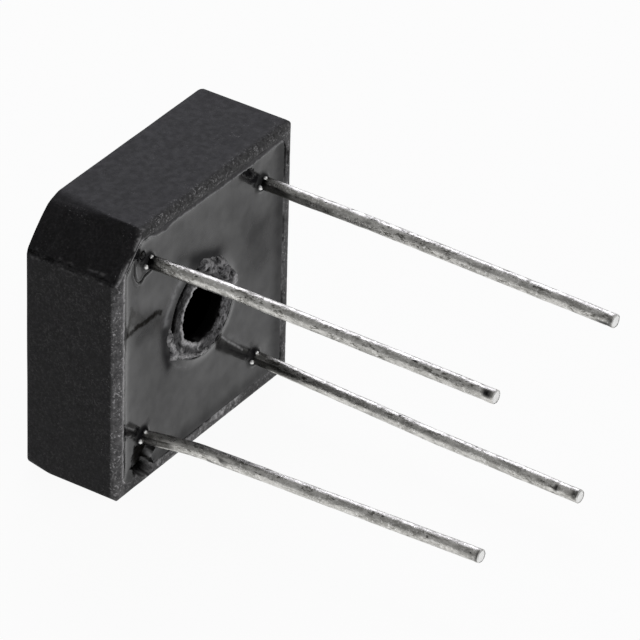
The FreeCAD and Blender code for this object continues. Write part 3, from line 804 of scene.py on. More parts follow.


# potting resin: a fine face that climbs the walls, the tube and the leads, on the plain block below it. Heights
# count from its level. film, pit and chip are outlines, and scar and flake are lines, all in X and Z. Each line
# of sheen or pale has its points, its width and how much it adds. The pale lines are painted highlights and
# painted reflections of the leads.
resinShape = {
    "level": 5.45,
    "under": 4.8,
    "overlap": 0.04,
    "tubeRadius": 2.7,
    "leadRadius": 0.368,
    "meshStep": 0.085,
    "wallRise": 0.14,
    "wallRiseWidth": 0.85,
    "wallTop": 0.14,
    "sag": 0.05,
    "sagWidth": 2.6,
    "tubeRise": 0.15,
    "tubeRiseWidth": 0.7,
    "gapWidth": 0.18,
    "gapDepth": 0.35,
    "leadRise": 0.2,
    "leadRiseWidth": 0.4,
    "swell": 0.02,
    "ripple": 0.004,
    "film": [
        (-5.3, 7.3), (-4.98, 6.91), (-4.3, 6.62), (-3.43, 6.5), (-2.92, 6.66), (-1.88, 6.67), (-0.4, 6.63),
        (1.36, 6.58), (2.86, 6.6), (3.93, 6.54), (5.0, 6.62), (6.98, 6.7), (7.2, 7.3),
    ],
    "scar": [
        (-6.9, 1.8), (-6.56, 1.86), (-6.12, 1.82), (-5.6, 1.92), (-5.09, 1.82), (-4.83, 1.78), (-4.31, 1.86),
        (-3.92, 1.84), (-3.6, 1.7),
    ],
    "pit": [(3.3, 6.55), (3.7, 6.66), (4.25, 6.3), (4.62, 5.85), (4.4, 5.62), (4.05, 5.8), (3.7, 6.15)],
    "pitDepth": 0.22,
    "flake": [
        (-5.98, 6.05), (-5.98, 5.5), (-5.95, 5.2), (-5.87, 4.95), (-5.76, 4.7), (-5.6, 4.53), (-5.42, 4.47),
        (-5.27, 4.52), (-5.12, 4.66), (-4.87, 4.7), (-4.5, 4.75),
    ],
    "bubble": (-5.3, 6.04),
    "chip": [
        (-5.75, -5.35), (-6.15, -6.4), (-5.85, -6.95), (-5.4, -7.3), (-4.7, -7.3), (-4.55, -7.05), (-4.5, -6.6),
        (-4.05, -6.25), (-4.5, -5.85), (-5.1, -5.5),
    ],
    "chipDepth": 0.5,
    "sheen": [
        ([(5.5, 0.6), (5.5, 2.4)], 1.6, -0.45),
        ([(-3.25, 0.9), (-3.3, 0.0), (-3.2, -1.0), (-2.85, -1.9)], 0.4, -0.65),
        ([(-1.9, 4.0), (-1.2, 3.75), (0.2, 3.25), (1.6, 2.7)], 0.6, -0.55),
        ([(3.0, 4.5), (4.5, 2.5)], 1.0, -0.2),
        ([(-5.4, 1.1), (-4.3, 1.2)], 0.7, -0.5),
        ([(-6.2, 2.7), (-4.6, 3.0)], 0.7, 0.35),
        ([(-3.2, -2.0), (-3.0, -3.4)], 1.8, -0.28),
        ([(-0.8, 3.2), (0.2, 3.1), (1.3, 2.7)], 0.4, -0.3),
        ([(-6.4, 3.6), (-6.4, 0.0)], 0.45, 0.3),
        ([(5.74, -5.3), (5.8, -5.6)], 0.35, 0.5),
        ([(4.6, -4.6), (4.7, -4.9)], 0.25, -0.5),
        ([(5.5, 3.5), (5.6, 4.1)], 0.6, 0.5),
        ([(5.3, 6.1), (5.9, 6.2)], 0.3, 0.6),
        ([(-5.5, -5.0), (-4.6, -4.4)], 0.3, -0.4),
        ([(-5.7, 1.9), (-4.2, 1.85)], 0.22, -0.6),
        ([(4.2, 1.6), (4.6, 0.2)], 0.9, -0.14),
        ([(-0.2, -5.9), (2.0, -5.6)], 0.9, -0.15),
    ],
    # pale lines: painted highlights and painted reflections of the leads
    "pale": [
        ([(-1.75, 2.8), (-2.3, 2.35), (-2.75, 1.8), (-3.05, 1.25), (-3.2, 0.8)], 0.2, 0.4),
        ([(1.87, -2.64), (2.48, -3.26), (3.29, -3.97), (3.8, -4.48)], 0.055, 0.75),
        ([(2.5, -2.9), (3.3, -3.7), (4.1, -4.4)], 0.2, 0.1),
        ([(-6.85, -3.4), (-6.3, -3.85), (-5.85, -4.2)], 0.045, 0.6),
        ([(-6.8, -4.05), (-6.4, -4.35), (-6.1, -4.45)], 0.045, 0.5),
        ([(-2.75, -1.6), (-2.2, -2.3), (-1.3, -2.85)], 0.1, 0.12),
        ([(-4.1, -6.2), (-4.5, -6.6), (-4.62, -7.05)], 0.07, 0.8),
        ([(-5.4, -6.35), (-5.3, -6.8), (-5.1, -7.3)], 0.13, 0.35),
        ([(-5.9, -5.9), (-6.0, -6.3), (-5.8, -6.7)], 0.045, 0.3),
    ],
}


def pouredHeight(x, z, values):
    # the resin as it set: low swells, a climb at the walls, the tube and the leads, and a gap by the torn collar
    flat = onFace(x, z)
    height = values["swell"] * unevenness(flat, 3.6, 21) + values["ripple"] * unevenness(flat, 0.9, 22, 2)
    wall = wallDistance(x, z)
    width = values["wallRiseWidth"] * (1.0 + 0.25 * unevenness(flat, 1.6, 23))
    height += values["wallRise"] * np.clip(1.0 - wall / width, 0.0, 1.0) ** 3
    height += values["sag"] * (np.clip(1.0 - wall / values["sagWidth"], 0.0, 1.0) ** 2 - 1.0)

    fromAxis = np.hypot(x, z)
    angle = np.degrees(np.arctan2(z, x))
    tornSide = smoothStep(np.abs(angle - cavity["tornSide"]), 72.0, 38.0)
    crest = values["tubeRadius"] + values["gapWidth"] * tornSide
    height += values["tubeRise"] * np.clip(1.0 - (fromAxis - crest) / values["tubeRiseWidth"], 0.0, 1.0) ** 2
    height -= values["gapDepth"] * (tornSide * (1.0 - smoothStep(fromAxis, crest - 0.09, crest + 0.02)))

    for lead in leads.values():
        away = np.hypot(x - lead["root"][0], z - lead["root"][1])
        width = values["leadRiseWidth"] * (1.0 + 0.3 * unevenness(flat, 0.8, 24 + lead["seed"]))
        climb = np.clip(1.0 - (away - values["leadRadius"]) / width, 0.0, 1.1)
        height += values["leadRise"] * climb ** 3
    return height


def resinSheen(x, z, values):
    # where the face mirrors the lamps more or less than elsewhere
    sheen = np.zeros(len(x))
    for points, spread, amount in values["sheen"]:
        sheen += amount * bell(distanceToLine(x, z, points), spread)
    for lead in leads.values():
        away = np.hypot(x - lead["root"][0], z - lead["root"][1])
        sheen -= 0.8 * bell(np.clip(away - values["leadRadius"], 0.0, None), 0.22)
    return np.clip(0.5 + 0.5 * sheen, 0.0, 1.0)


def resinSurface(x, z, values):
    # the height of the worn face, and the numbers that the resin's finish reads
    flat = onFace(x, z)
    wall = wallDistance(x, z)
    height = pouredHeight(x, z, values)

    # the scar and the crescent crack
    scar = distanceToLine(x, z, values["scar"]) + 0.04 * unevenness(flat, 0.3, 31)
    scarLine = np.clip(1.4 * bell(scar + 0.1 * unevenness(flat, 0.14, 70, 2), 0.16), 0.0, 1.0)
    scarLine = scarLine * speckle(flat, 0.35, 32, 1, -0.9, -0.3) * (wall > 0.02)
    flake = distanceToLine(x, z, values["flake"]) + 0.03 * unevenness(flat, 0.4, 34)
    crack = np.maximum(scarLine, 0.8 * bell(flake, 0.05) * speckle(flat, 0.3, 65, 1, -0.8, -0.3))
    height -= 0.06 * crack * (scar > 0.4)
    height += 0.03 * bell(flake - 0.12, 0.07)

    # a burst bubble and a pit
    bubble = np.hypot(x - values["bubble"][0], z - values["bubble"][1])
    height -= 0.1 * bell(bubble, 0.13)
    height += 0.03 * bell(bubble - 0.24, 0.06)
    crack = np.maximum(crack, bell(bubble, 0.14, 4))
    pit = depthInside(x, z, values["pit"]) + 0.14 * unevenness(flat, 0.22, 33, 3)
    height -= values["pitDepth"] * smoothStep(pit, -0.02, 0.12)
    height = np.minimum(height, np.where(wall < 0.3, values["wallTop"], 1.0))

    # along the top the case's plastic has run out over the resin
    film = depthInside(x, z, values["film"]) + 0.035 * unevenness(flat, 0.25, 66, 3)
    filmShare = smoothStep(film, -0.03, 0.05)
    filmTop = values["wallTop"] - 0.01 + 0.02 * unevenness(flat, 0.3, 67, 2)
    height = height * (1.0 - filmShare) + filmTop * filmShare
    # a pale line along the film's edge: a painted highlight
    filmRimHighlight = bell(film - 0.05, 0.07) * speckle(flat, 0.3, 68, 3, -0.7, 0.0)

    # the chip goes down to a broken floor
    chip = depthInside(x, z, values["chip"]) + 0.12 * unevenness(flat, 0.35, 35, 3)
    chipFloor = -values["chipDepth"] * (1.0 + 0.2 * unevenness(flat, 0.4, 36, 3))
    share = smoothStep(chip, -0.03, 0.09)
    height = height * (1.0 - share) + chipFloor * share
    besideLip = 0.8 * bell(wall - 0.07, 0.04) * (x < -6.6) * speckle(flat, 0.4, 71, 3, -0.4, 0.1)
    # the chip is painted near black: painted shade in the hollow
    inChip = 0.9 * speckle(flat, 0.3, 77, 2, -0.8, -0.2)
    marks = {
        "film": filmShare,
        "filmRimHighlight": 0.7 * filmRimHighlight,
        # pale lines: painted highlights and painted reflections of the leads
        "pale": drawLines(x, z, values["pale"]),
        "broken": np.maximum(smoothStep(chip, -0.12, -0.03), smoothStep(pit, -0.05, 0.1)),
        "crack": np.where(share > 0.0, inChip, np.maximum(crack, besideLip)),
        "sheen": resinSheen(x, z, values),
    }
    return height, marks


def addResinFace(values):
    side = 2.0 * cavity["half"] + 0.2
    cells = round(side / values["meshStep"])
    bpy.ops.mesh.primitive_grid_add(
        x_subdivisions=cells, y_subdivisions=cells, size=side * mm,
        location=(0.0, -values["level"] * mm, 0.0), rotation=(quarterTurn, 0.0, 0.0),
    )
    face = settle(bpy.context.object, "resin_face")
    roots = [lead["root"] for lead in leads.values()]

    def clearance(x, z):
        # distance to the nearest edge of the resin, less than zero outside it
        fromTube = np.hypot(x, z) - values["tubeRadius"] + values["overlap"]
        room = np.minimum(wallDistance(x, z) + values["overlap"], fromTube)
        for rootX, rootZ in roots:
            room = np.minimum(room, np.hypot(x - rootX, z - rootZ) - values["leadRadius"] + values["overlap"])
        return room

    # finer faces by the tube, the leads, the broken places and the lines
    x, z = readCentres(face)[:, ::2].T
    fine = np.abs(np.hypot(x, z) - 2.9) < 0.3
    for outline, margin in (("chip", 0.3), ("pit", 0.25)):
        fine |= depthInside(x, z, values[outline]) > -margin
    paleLines = [points for points, spread, amount in values["pale"]]
    for line in (values["scar"], values["flake"], values["film"][1:-2], *paleLines):
        fine |= distanceToLine(x, z, line) < 0.25
    for rootX, rootZ in roots:
        fine |= np.hypot(x - rootX, z - rootZ) < 1.1
    openFaces(face, fine)
    bpy.ops.mesh.subdivide(number_cuts=1)
    closeEdit()
    x, z = readCentres(face)[:, ::2].T
    deleteFaces(face, clearance(x, z) < 0.0)

    # the edge of what is left goes onto the walls, the tube and the leads
    places = readPlaces(face)
    counts = np.zeros(len(face.data.edges), dtype=int)
    for loop in face.data.loops:
        counts[loop.edge_index] += 1
    onEdge = np.zeros(len(places), dtype=bool)
    for edge, count in zip(face.data.edges, counts):
        if count == 1:
            onEdge[list(edge.vertices)] = True
    step = 0.002
    for attempt in range(4):
        x, z = places[onEdge, 0], places[onEdge, 2]
        room = clearance(x, z)
        slopeX = (clearance(x + step, z) - clearance(x - step, z)) / (2.0 * step)
        slopeZ = (clearance(x, z + step) - clearance(x, z - step)) / (2.0 * step)
        size = np.maximum(slopeX ** 2 + slopeZ ** 2, 0.25)
        places[onEdge, 0] -= room * slopeX / size
        places[onEdge, 2] -= room * slopeZ / size
    height, marks = resinSurface(places[:, 0], places[:, 2], values)
    places[:, 1] = -values["level"] - height
    writePlaces(face, places)
    for name, numbers in marks.items():
        paint(face, name, numbers)
    closeBelow(face, values["under"])
    return face


def addResinBlock(values):
    # the solid model's block with its pockets, below the fine face
    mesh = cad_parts["potting"].data.copy()
    block = bpy.data.objects.new("resin_block", mesh)
    bpy.context.scene.collection.objects.link(block)
    openEdit(block, "FACE", lambda centre, normal: True)
    bpy.ops.mesh.remove_doubles(threshold=0.0001 * mm)
    bpy.ops.mesh.bisect(plane_co=(0.0, -values["under"] * mm, 0.0), plane_no=(0.0, -1.0, 0.0), clear_outer=True)
    bpy.ops.mesh.fill()
    closeEdit()
    return block


resinFace = addResinFace(resinShape)
resinBlock = addResinBlock(resinShape)
print("resin has", len(resinFace.data.polygons), "and", len(resinBlock.data.polygons), "faces")


# torn plastic at the tube's mouth: a crumpled tongue of flash up right of it, and a pale crust down left. Each
# has its outline in X and Z, and holes with their place and radius.
tornShape = {
    "meshStep": 0.06,
    "foot": 5.0,
    "level": 5.37,
}
tornPieces = {
    "torn_flash": {
        "corners": [
            (-0.4, 3.1), (0.03, 3.15), (0.57, 2.9), (1.1, 2.75), (1.64, 2.5), (2.1, 1.95), (2.5, 1.4), (2.9, 0.95),
            (3.05, 0.6), (2.95, -0.1), (2.35, -0.1), (1.95, 0.5), (1.5, 1.1), (0.9, 1.65), (0.3, 2.0), (-0.4, 2.3),
        ],
        "rise": 0.42,
        "slope": 0.2,
        "crumple": 0.6,
        "relief": 0.5,
        "seed": 41,
        "holes": [(1.22, 1.52, 0.17), (1.45, 1.35, 0.12), (2.3, 0.95, 0.08), (2.18, 0.75, 0.06)],
    },
    "torn_crust": {
        "corners": [
            (-2.95, 0.75), (-3.08, 0.3), (-3.12, -0.2), (-3.05, -0.6), (-2.8, -1.15), (-2.8, -1.65), (-2.5, -1.85),
            (-1.95, -2.05), (-1.44, -2.25), (-0.75, -2.55), (-0.26, -2.7), (0.3, -2.78), (0.6, -2.7), (0.5, -2.4),
            (-0.3, -2.3), (-1.05, -2.0), (-1.75, -1.6), (-2.2, -1.2), (-2.45, -0.7), (-2.65, -0.1), (-2.8, 0.4),
        ],
        "rise": 0.27,
        "slope": 0.15,
        "crumple": 0.25,
        "relief": 0.8,
        "seed": 51,
        "holes": [(-2.45, -0.95, 0.08), (-2.2, -1.5, 0.06)],
    },
}


def addTornPiece(name, values, shape):
    corners, seed = values["corners"], values["seed"]
    low, high = np.min(corners, axis=0) - 0.1, np.max(corners, axis=0) + 0.1
    size, middle = high - low, (low + high) / 2
    cells = [round(length / shape["meshStep"]) for length in size]
    bpy.ops.mesh.primitive_grid_add(
        x_subdivisions=cells[0], y_subdivisions=cells[1], size=mm,
        location=Vector((middle[0], -shape["foot"], middle[1])) * mm, rotation=(quarterTurn, 0.0, 0.0),
    )
    bpy.context.object.scale = (size[0], size[1], 1.0)
    piece = settle(bpy.context.object, name)
    x, z = readCentres(piece)[:, ::2].T
    deleteFaces(piece, depthInside(x, z, corners) < 0.0)

    places = readPlaces(piece)
    x, z = places[:, 0], places[:, 2]
    inside = depthInside(x, z, corners)
    share = smoothStep(inside + 0.06 * unevenness(places, 0.25, seed), 0.0, values["slope"])
    ridges = 1.0 - 2.0 * np.abs(unevenness(places, values["crumple"], seed + 1, 2))
    pits = speckle(places, 0.3, seed + 2, 2, 0.35, 0.55)
    for holeX, holeZ, radius in values["holes"]:
        away = np.hypot(x - holeX, z - holeZ) + 0.05 * unevenness(places, 0.15, seed + 4)
        pits = np.maximum(pits, 1.0 - smoothStep(away, radius * 0.7, radius))
    height = share * values["rise"] * (0.85 + 0.5 * values["relief"] * (ridges - 0.5) - 0.5 * pits)
    places[:, 1] = -shape["level"] - height
    places[:, 0] += 0.05 * unevenness(places, 0.2, seed + 3)
    writePlaces(piece, places)

    # numbers that the plastic's finish reads: painted highlights on the ridges and along the outline, white torn
    # edges and glints, and dark pits
    ridgeHighlight = values["relief"] * 0.8 * smoothStep(ridges, 0.55, 0.9) * share
    outline = 0.45 * bell(inside - 0.07, 0.05) * speckle(places, 0.2, seed + 5, 2, -0.3, 0.2)
    paint(piece, "torn", np.full(len(places), 0.75))
    paint(piece, "edge", np.maximum(np.maximum(ridgeHighlight, outline), pickTornEdgesAndGlints(x, z)))
    paint(piece, "crack", 0.95 * pits * share)
    closeBelow(piece, shape["foot"])
    return piece


torn = [addTornPiece(name, values, tornShape) for name, values in tornPieces.items()]
print("torn pieces have", [len(piece.data.polygons) for piece in torn], "faces")

for piece in torn:
    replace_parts(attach(piece, "root"), "case")
for piece, slot, node in [(case, "case_plastic", "case"), (resinFace, "resin", "potting"), (resinBlock, "resin", "potting")]:
    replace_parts(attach(piece, "root"), node)
for name, wire in wires.items():
    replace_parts(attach(wire, "root"), name)
for piece in (case, resinFace, *torn, *wires.values()):
    makeActive(piece)
    bpy.ops.object.shade_smooth_by_angle(angle=math.radians(50.0))
print("pieces ride on the frame")


# finishes: each is a shader with its own noise in millimetres across the piece
def newFinish(name):
    material = bpy.data.materials.new(name)
    material.use_nodes = True
    return material, material.node_tree, material.node_tree.nodes["Principled BSDF"]


def addNode(tree, kind, **settings):
    node = tree.nodes.new(kind)
    for name, value in settings.items():
        if name in node.inputs:
            node.inputs[name].default_value = value
        else:
            setattr(node, name, value)
    return node


def placeOnPiece(tree, stretch=(1.0, 1.0, 1.0)):
    # object coordinates counted in millimetres
    coordinates = addNode(tree, "ShaderNodeTexCoord")
    mapping = addNode(tree, "ShaderNodeMapping")
    mapping.inputs["Scale"].default_value = Vector(stretch) / mm
    tree.links.new(coordinates.outputs["Object"], mapping.inputs["Vector"])
    return mapping.outputs["Vector"]


def addNoise(tree, place, size, detail=2.0, roughness=0.5):
    texture = addNode(tree, "ShaderNodeTexNoise", Scale=1.0 / size, Detail=detail, Roughness=roughness)
    tree.links.new(place, texture.inputs["Vector"])
    return texture.outputs["Fac"]


def addRange(tree, source, low, high, toLow=0.0, toHigh=1.0):
    span = addNode(tree, "ShaderNodeMapRange", interpolation_type="SMOOTHSTEP")
    for name, value in (("From Min", low), ("From Max", high), ("To Min", toLow), ("To Max", toHigh)):
        span.inputs[name].default_value = value
    tree.links.new(source, span.inputs["Value"])
    return span.outputs["Result"]


def addPatches(tree, place, pattern):
    # a pattern has its noise's size, detail and roughness, and then the limits that it is cut to
    grain, limits = pattern
    return addRange(tree, addNoise(tree, place, *grain), *limits)


def addMath(tree, operation, first, second):
    node = addNode(tree, "ShaderNodeMath", operation=operation)
    for socket, value in zip(node.inputs, (first, second)):
        if isinstance(value, (int, float)):
            socket.default_value = value
        else:
            tree.links.new(value, socket)
    return node.outputs["Value"]


def times(tree, first, second):
    return addMath(tree, "MULTIPLY", first, second)


def larger(tree, first, second):
    return addMath(tree, "MAXIMUM", first, second)


def addMix(tree, share, first, second):
    # mixes two colours, each a plain grey or tint, or another node's colour
    node = addNode(tree, "ShaderNodeMix", data_type="RGBA")
    tree.links.new(share, node.inputs["Factor"])
    for socket, value in ((node.inputs[6], first), (node.inputs[7], second)):
        if isinstance(value, tuple):
            socket.default_value = (*value, 1.0)
        else:
            tree.links.new(value, socket)
    return node.outputs[2]


def layTints(tree, colour, layers):
    # each layer is a share and the tint that it lays over the colour so far
    for share, tint in layers:
        colour = addMix(tree, share, colour, tint)
    return colour


def addAttributes(tree, *names):
    return [addNode(tree, "ShaderNodeAttribute", attribute_name=name).outputs["Fac"] for name in names]


def addBump(tree, shader, layers):
    # each layer is a height source and its depth in millimetres
    previous = None
    for source, depth in layers:
        bump = addNode(tree, "ShaderNodeBump", Strength=1.0, Distance=depth * mm)
        tree.links.new(source, bump.inputs["Height"])
        if previous:
            tree.links.new(previous, bump.inputs["Normal"])
        previous = bump.outputs["Normal"]
    tree.links.new(previous, shader.inputs["Normal"])


plasticFinish = {
    "dark": (0.0062, 0.006, 0.0066),
    "pale": (0.0135, 0.013, 0.0145),
    "fleckTint": (0.046, 0.044, 0.0445),
    "poreTint": (0.0025, 0.0022, 0.0022),
    "speckTint": (0.24, 0.236, 0.242),
    "lipWearAndLightTint": (0.22, 0.217, 0.22),
    "tornTint": (0.27, 0.266, 0.275),
    "edgeAndHighlightTint": (0.72, 0.71, 0.72),
    "crackAndShadeTint": (0.002, 0.002, 0.002),
    "specular": 0.15,
    "grain": (0.07, 3.0, 0.65),
    "fine": (0.14, 4.0, 0.8),
    "fleckLimits": (0.5, 0.64),
    "poreLimits": (0.5, 0.38),
    "cloud": ((0.5, 5.0, 0.75), (0.35, 0.65)),
    "fleckArea": ((1.7, 5.0, 0.7), (0.35, 0.65, 0.45, 1.25)),
    "specks": ((0.11, 2.0, 0.6), (0.6, 0.68)),
    "speckArea": ((1.1, 3.0, 0.6), (0.5, 0.68)),
    "lipCloud": ((0.22, 4.0, 0.75), (0.3, 0.65, 0.35, 1.0)),
    "lipSpecks": ((0.14, 2.0, 0.7), (0.57, 0.63)),
    "lipSpeckArea": ((0.8, 3.0, 0.6), (0.38, 0.6, 0.2, 1.0)),
    "edgeCloud": ((0.12, 3.0), (0.3, 0.6, 0.5, 1.0)),
    "crumbs": ((0.18, 5.0, 0.8), (0.4, 0.62, 0.05, 1.0)),
    "rough": ((0.35, 3.0), (0.3, 0.7, 0.5, 0.58)),
}


def makePlastic(values):
    material, tree, shader = newFinish("blackMouldedPlastic")
    place = placeOnPiece(tree)

    def patches(name):
        return addPatches(tree, place, values[name])

    lip, torn, crack, grainy, nearLip, edge, bore = addAttributes(
        tree, "lip", "torn", "crack", "grain", "nearLip", "edge", "bore"
    )
    grain = addNoise(tree, place, *values["grain"])
    fine = addNoise(tree, place, *values["fine"])
    flecks = times(tree, addRange(tree, fine, *values["fleckLimits"]), patches("fleckArea"))
    pores = addRange(tree, fine, *values["poreLimits"])
    speckShare = addMath(tree, "ADD", times(tree, nearLip, 0.5), 0.12)
    # the bore is darkened: painted shade in the hole
    dark = times(tree, bore, 0.9)
    colour = addMix(tree, patches("cloud"), values["dark"], values["pale"])
    colour = layTints(tree, colour, [
        (times(tree, flecks, grainy), values["fleckTint"]),
        (times(tree, pores, grainy), values["poreTint"]),
        # the lip: painted paler for wear and as painted light on each side
        (times(tree, lip, patches("lipCloud")), values["lipWearAndLightTint"]),
        (times(tree, patches("crumbs"), torn), values["tornTint"]),
        (times(tree, patches("specks"), times(tree, patches("speckArea"), speckShare)), values["speckTint"]),
        (times(tree, times(tree, patches("lipSpecks"), patches("lipSpeckArea")), lip), values["edgeAndHighlightTint"]),
        # pale lines: partly painted highlights and glints
        (times(tree, edge, patches("edgeCloud")), values["edgeAndHighlightTint"]),
        # cracks, and the chip painted near black as painted shade
        (crack, values["crackAndShadeTint"]),
        (dark, values["crackAndShadeTint"]),
    ])
    tree.links.new(colour, shader.inputs["Base Color"])
    tree.links.new(patches("rough"), shader.inputs["Roughness"])
    dulled = larger(tree, dark, times(tree, crack, 0.9))
    tree.links.new(addRange(tree, dulled, 0.0, 1.0, values["specular"], 0.0), shader.inputs["Specular IOR Level"])
    tornBump = times(tree, addNoise(tree, place, 0.16, 4.0, 0.7), torn)
    addBump(tree, shader, [(grain, 0.004), (addNoise(tree, place, 0.5, 2.0), 0.004), (tornBump, 0.1), (crack, -0.03)])
    return material


resinFinish = {
    "dark": (0.011, 0.011, 0.012),
    "pale": (0.018, 0.0175, 0.019),
    "brokenTint": (0.018, 0.018, 0.018),
    "crackAndShadeTint": (0.007, 0.006, 0.0045),
    "highlightTint": (0.5, 0.5, 0.51),
    "filmTint": (0.088, 0.086, 0.089),
    "specular": 0.465,
    "dulled": 0.35,
    "cloud": ((2.6, 3.0), (0.3, 0.7)),
    "crumbs": ((0.14, 3.0, 0.7), (0.5, 0.62)),
    "highlightCloud": ((0.3, 3.0), (0.35, 0.6, 0.5, 1.0)),
    "filmCloud": ((0.5, 5.0, 0.7), (0.3, 0.65, 0.65, 1.0)),
    "haze": ((0.8, 4.0, 0.6), (0.35, 0.7, 0.11, 0.2)),
    "glossCloud": ((1.1, 4.0, 0.6), (0.3, 0.7, 0.78, 1.18)),
    "dust": ((0.05, 2.0), (0.6, 0.8)),
}


def makeResin(values):
    material, tree, shader = newFinish("glossyBlackResin")
    place = placeOnPiece(tree)

    def patches(name):
        return addPatches(tree, place, values[name])

    broken, crack, sheen, pale, film, filmRimHighlight = addAttributes(
        tree, "broken", "crack", "sheen", "pale", "film", "filmRimHighlight"
    )
    colour = addMix(tree, patches("cloud"), values["dark"], values["pale"])
    colour = layTints(tree, colour, [
        (times(tree, broken, patches("crumbs")), values["brokenTint"]),
        # cracks, and the chip painted near black as painted shade
        (crack, values["crackAndShadeTint"]),
        # pale lines and the film's edge: painted highlights and reflections
        (times(tree, pale, patches("highlightCloud")), values["highlightTint"]),
        (times(tree, film, patches("filmCloud")), values["filmTint"]),
        (filmRimHighlight, values["highlightTint"]),
    ])
    tree.links.new(colour, shader.inputs["Base Color"])
    rough = addMath(tree, "ADD", patches("haze"), addRange(tree, sheen, 0.45, 0.0, 0.0, values["dulled"]))
    rough = addMath(tree, "ADD", rough, times(tree, larger(tree, broken, film), 0.35))
    tree.links.new(rough, shader.inputs["Roughness"])
    matt = larger(tree, broken, larger(tree, crack, film))
    gloss = times(tree, sheen, 2.0 * values["specular"])
    gloss = times(tree, times(tree, gloss, addRange(tree, matt, 0.0, 1.0, 1.0, 0.1)), patches("glossCloud"))
    tree.links.new(gloss, shader.inputs["Specular IOR Level"])
    brokenBump = times(tree, addNoise(tree, place, 0.12, 3.0, 0.7), broken)
    addBump(tree, shader, [(addNoise(tree, place, 0.9, 2.0), 0.005), (patches("dust"), 0.002), (brokenBump, 0.08)])
    return material


tinFinish = {
    "bright": (0.7, 0.69, 0.66),
    "dull": (0.4, 0.394, 0.372),
    "glint": (0.92, 0.91, 0.89),
    "oxide": (0.1, 0.096, 0.084),
    "stainTint": (0.05, 0.049, 0.046),
    "flux": (0.012, 0.012, 0.013),
    "cutTint": (0.8, 0.8, 0.79),
    "glints": ((0.16, 3.0, 0.75), (0.56, 0.64)),
    "cloud": ((0.45, 5.0, 0.75), (0.38, 0.6)),
    "oxideArea": ((1.1, 3.0, 0.6), (0.45, 0.62)),
    "spots": ((0.15, 3.0, 0.75), (0.53, 0.61)),
    "nicks": ((0.24, 2.0, 0.6), (0.69, 0.72)),
    "rough": ((0.3, 4.0, 0.7), (0.35, 0.65, 0.22, 0.44)),
}


def makeTin(values):
    # the coat's patterns are drawn out along the wire, each by its own stretch
    material, tree, shader = newFinish("dullTinnedWire")
    place = placeOnPiece(tree)
    along = placeOnPiece(tree, (1.0, 0.4, 1.0))
    glints = addPatches(tree, place, values["glints"])
    cloud, area, rough = [addPatches(tree, along, values[name]) for name in ("cloud", "oxideArea", "rough")]
    spots = addPatches(tree, placeOnPiece(tree, (1.0, 0.3, 1.0)), values["spots"])
    nicks = addPatches(tree, placeOnPiece(tree, (1.0, 0.5, 1.0)), values["nicks"])
    stain, cutMark, foot, endFace = addAttributes(tree, "stain", "cutMark", "foot", "endFace")
    stainNoise = times(tree, addNoise(tree, along, 0.7, 4.0), times(tree, stain, 1.2))
    stainEdge = addRange(tree, addMath(tree, "ADD", stain, stainNoise), 0.35, 1.0)
    colour = addMix(tree, cloud, values["dull"], values["bright"])
    colour = layTints(tree, colour, [
        (times(tree, glints, 0.9), values["glint"]),
        (times(tree, spots, addRange(tree, area, 0.0, 1.0, 0.28, 0.9)), values["oxide"]),
        (times(tree, nicks, 0.85), values["flux"]),
        (times(tree, stainEdge, 0.8), values["stainTint"]),
        (cutMark, values["flux"]),
        (foot, values["flux"]),
        (endFace, values["cutTint"]),
    ])
    tree.links.new(colour, shader.inputs["Base Color"])
    tree.links.new(rough, shader.inputs["Roughness"])
    shader.inputs["Metallic"].default_value = 1.0
    drawnGrain = addNoise(tree, along, 0.3, 4.0, 0.65)
    addBump(tree, shader, [(drawnGrain, 0.024), (addNoise(tree, place, 0.1, 3.0, 0.7), 0.011)])
    return material


# the pieces inside the resin: two tones, how metallic, how rough, and the size of their clouds
innerFinish = {
    "plate": ("stampedCopper", (0.55, 0.2, 0.1), (0.75, 0.34, 0.2), 1.0, 0.3, 0.8),
    "die": ("siliconDie", (0.05, 0.055, 0.07), (0.12, 0.12, 0.14), 0.6, 0.15, 0.5),
    "solder": ("softSolder", (0.3, 0.3, 0.31), (0.55, 0.55, 0.54), 1.0, 0.3, 0.4),
}


def makeInner(name, dark, pale, metallic, rough, size):
    # a clouded colour, uneven gloss and a fine grain
    material, tree, shader = newFinish(name)
    place = placeOnPiece(tree)
    cloud = addPatches(tree, place, ((size, 4.0, 0.6), (0.35, 0.65)))
    tree.links.new(addMix(tree, cloud, dark, pale), shader.inputs["Base Color"])
    shader.inputs["Metallic"].default_value = metallic
    haze = addPatches(tree, place, ((size * 0.4, 3.0), (0.3, 0.7, rough, rough + 0.2)))
    tree.links.new(haze, shader.inputs["Roughness"])
    addBump(tree, shader, [(addNoise(tree, place, size * 0.15, 3.0), 0.008)])
    return material


def dress(piece, material):
    piece.data.materials.clear()
    piece.data.materials.append(material)


plastic = makePlastic(plasticFinish)
resin = makeResin(resinFinish)
tin = makeTin(tinFinish)
innerMaterials = {kind: makeInner(*finish) for kind, finish in innerFinish.items()}
for piece in (case, *torn):
    dress(piece, plastic)
for piece in (resinFace, resinBlock):
    dress(piece, resin)
for wire in wires.values():
    dress(wire, tin)
for name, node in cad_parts.items():
    if not node.hide_render:
        dress(node, innerMaterials[name.split("_")[0]])
print("finishes made")


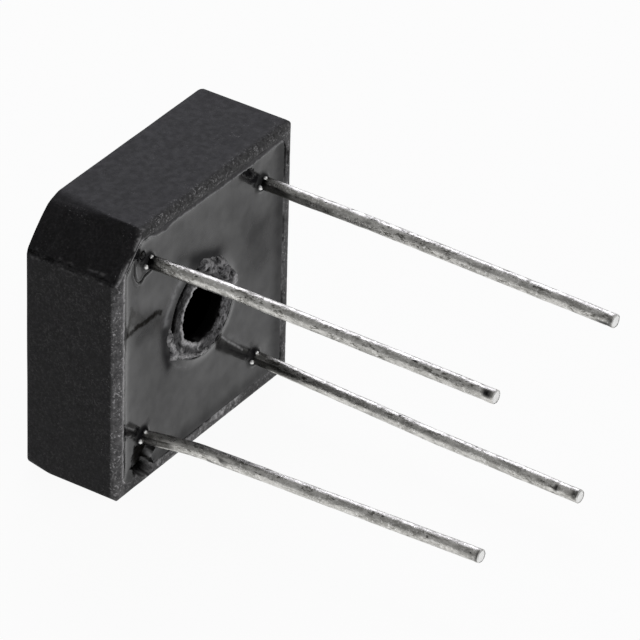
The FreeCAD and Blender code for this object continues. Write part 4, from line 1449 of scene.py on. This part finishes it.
# plain studio: a pale floor, a dim even room and soft lamps
studio = {
    "floorSize": 4.0,
    "floorColour": (0.86, 0.86, 0.86),
    "floorRough": 0.9,
    "floorPaint": 0.94,
    "roomLight": 0.35,
}
lamps = {
    "key": {"toward": (0.7, 0.46, 0.6), "distance": 0.6, "size": 0.42, "radiance": 2.35, "tint": (0.97, 0.965, 1.06)},
    "fill": {"toward": (0.25, -0.75, 0.6), "distance": 0.8, "size": 0.5, "radiance": 1.2, "tint": (1.0, 1.0, 1.0)},
}


def addStudio(values):
    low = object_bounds()[0][2]
    bpy.ops.mesh.primitive_plane_add(size=values["floorSize"], location=(0.0, 0.0, low))
    floor = bpy.context.object
    floor.name = "floor"
    floor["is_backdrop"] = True
    # the floor shows as white paper to the eye and in reflections, and still takes the object's shadow
    material, tree, shader = newFinish("paleFloor")
    floor.data.materials.append(material)
    shader.inputs["Base Color"].default_value = (*values["floorColour"], 1.0)
    shader.inputs["Roughness"].default_value = values["floorRough"]
    shader.inputs["Specular IOR Level"].default_value = 0.0
    paper = addNode(tree, "ShaderNodeEmission", Color=(1.0, 1.0, 1.0, 1.0), Strength=1.0)
    path = addNode(tree, "ShaderNodeLightPath").outputs
    mirrored = larger(tree, path["Is Glossy Ray"], path["Is Transmission Ray"])
    mix = addNode(tree, "ShaderNodeMixShader")
    seen = larger(tree, path["Is Camera Ray"], mirrored)
    tree.links.new(times(tree, seen, values["floorPaint"]), mix.inputs["Fac"])
    tree.links.new(shader.outputs["BSDF"], mix.inputs[1])
    tree.links.new(paper.outputs["Emission"], mix.inputs[2])
    tree.links.new(mix.outputs["Shader"], tree.nodes["Material Output"].inputs["Surface"])
    world = bpy.data.worlds.new("studioRoom")
    world.use_nodes = True
    bpy.context.scene.world = world
    room = world.node_tree.nodes["Background"]
    room.inputs["Color"].default_value = (1.0, 1.0, 1.0, 1.0)
    room.inputs["Strength"].default_value = values["roomLight"]


def addLamp(name, values):
    # a square soft lamp that faces the object; its power gives the radiance that its glass shows
    toward = Vector(values["toward"]).normalized()
    turn = toward.to_track_quat("Z", "Y").to_euler()
    bpy.ops.object.light_add(type="AREA", location=toward * values["distance"], rotation=turn)
    lamp = bpy.context.object
    lamp.name = name
    lamp.data.size = values["size"]
    lamp.data.color = values["tint"]
    lamp.data.energy = values["radiance"] * math.pi * values["size"] ** 2


addStudio(studio)
for name, values in lamps.items():
    addLamp(name, values)
bpy.context.scene.view_settings.view_transform = "Standard"
print("studio set")
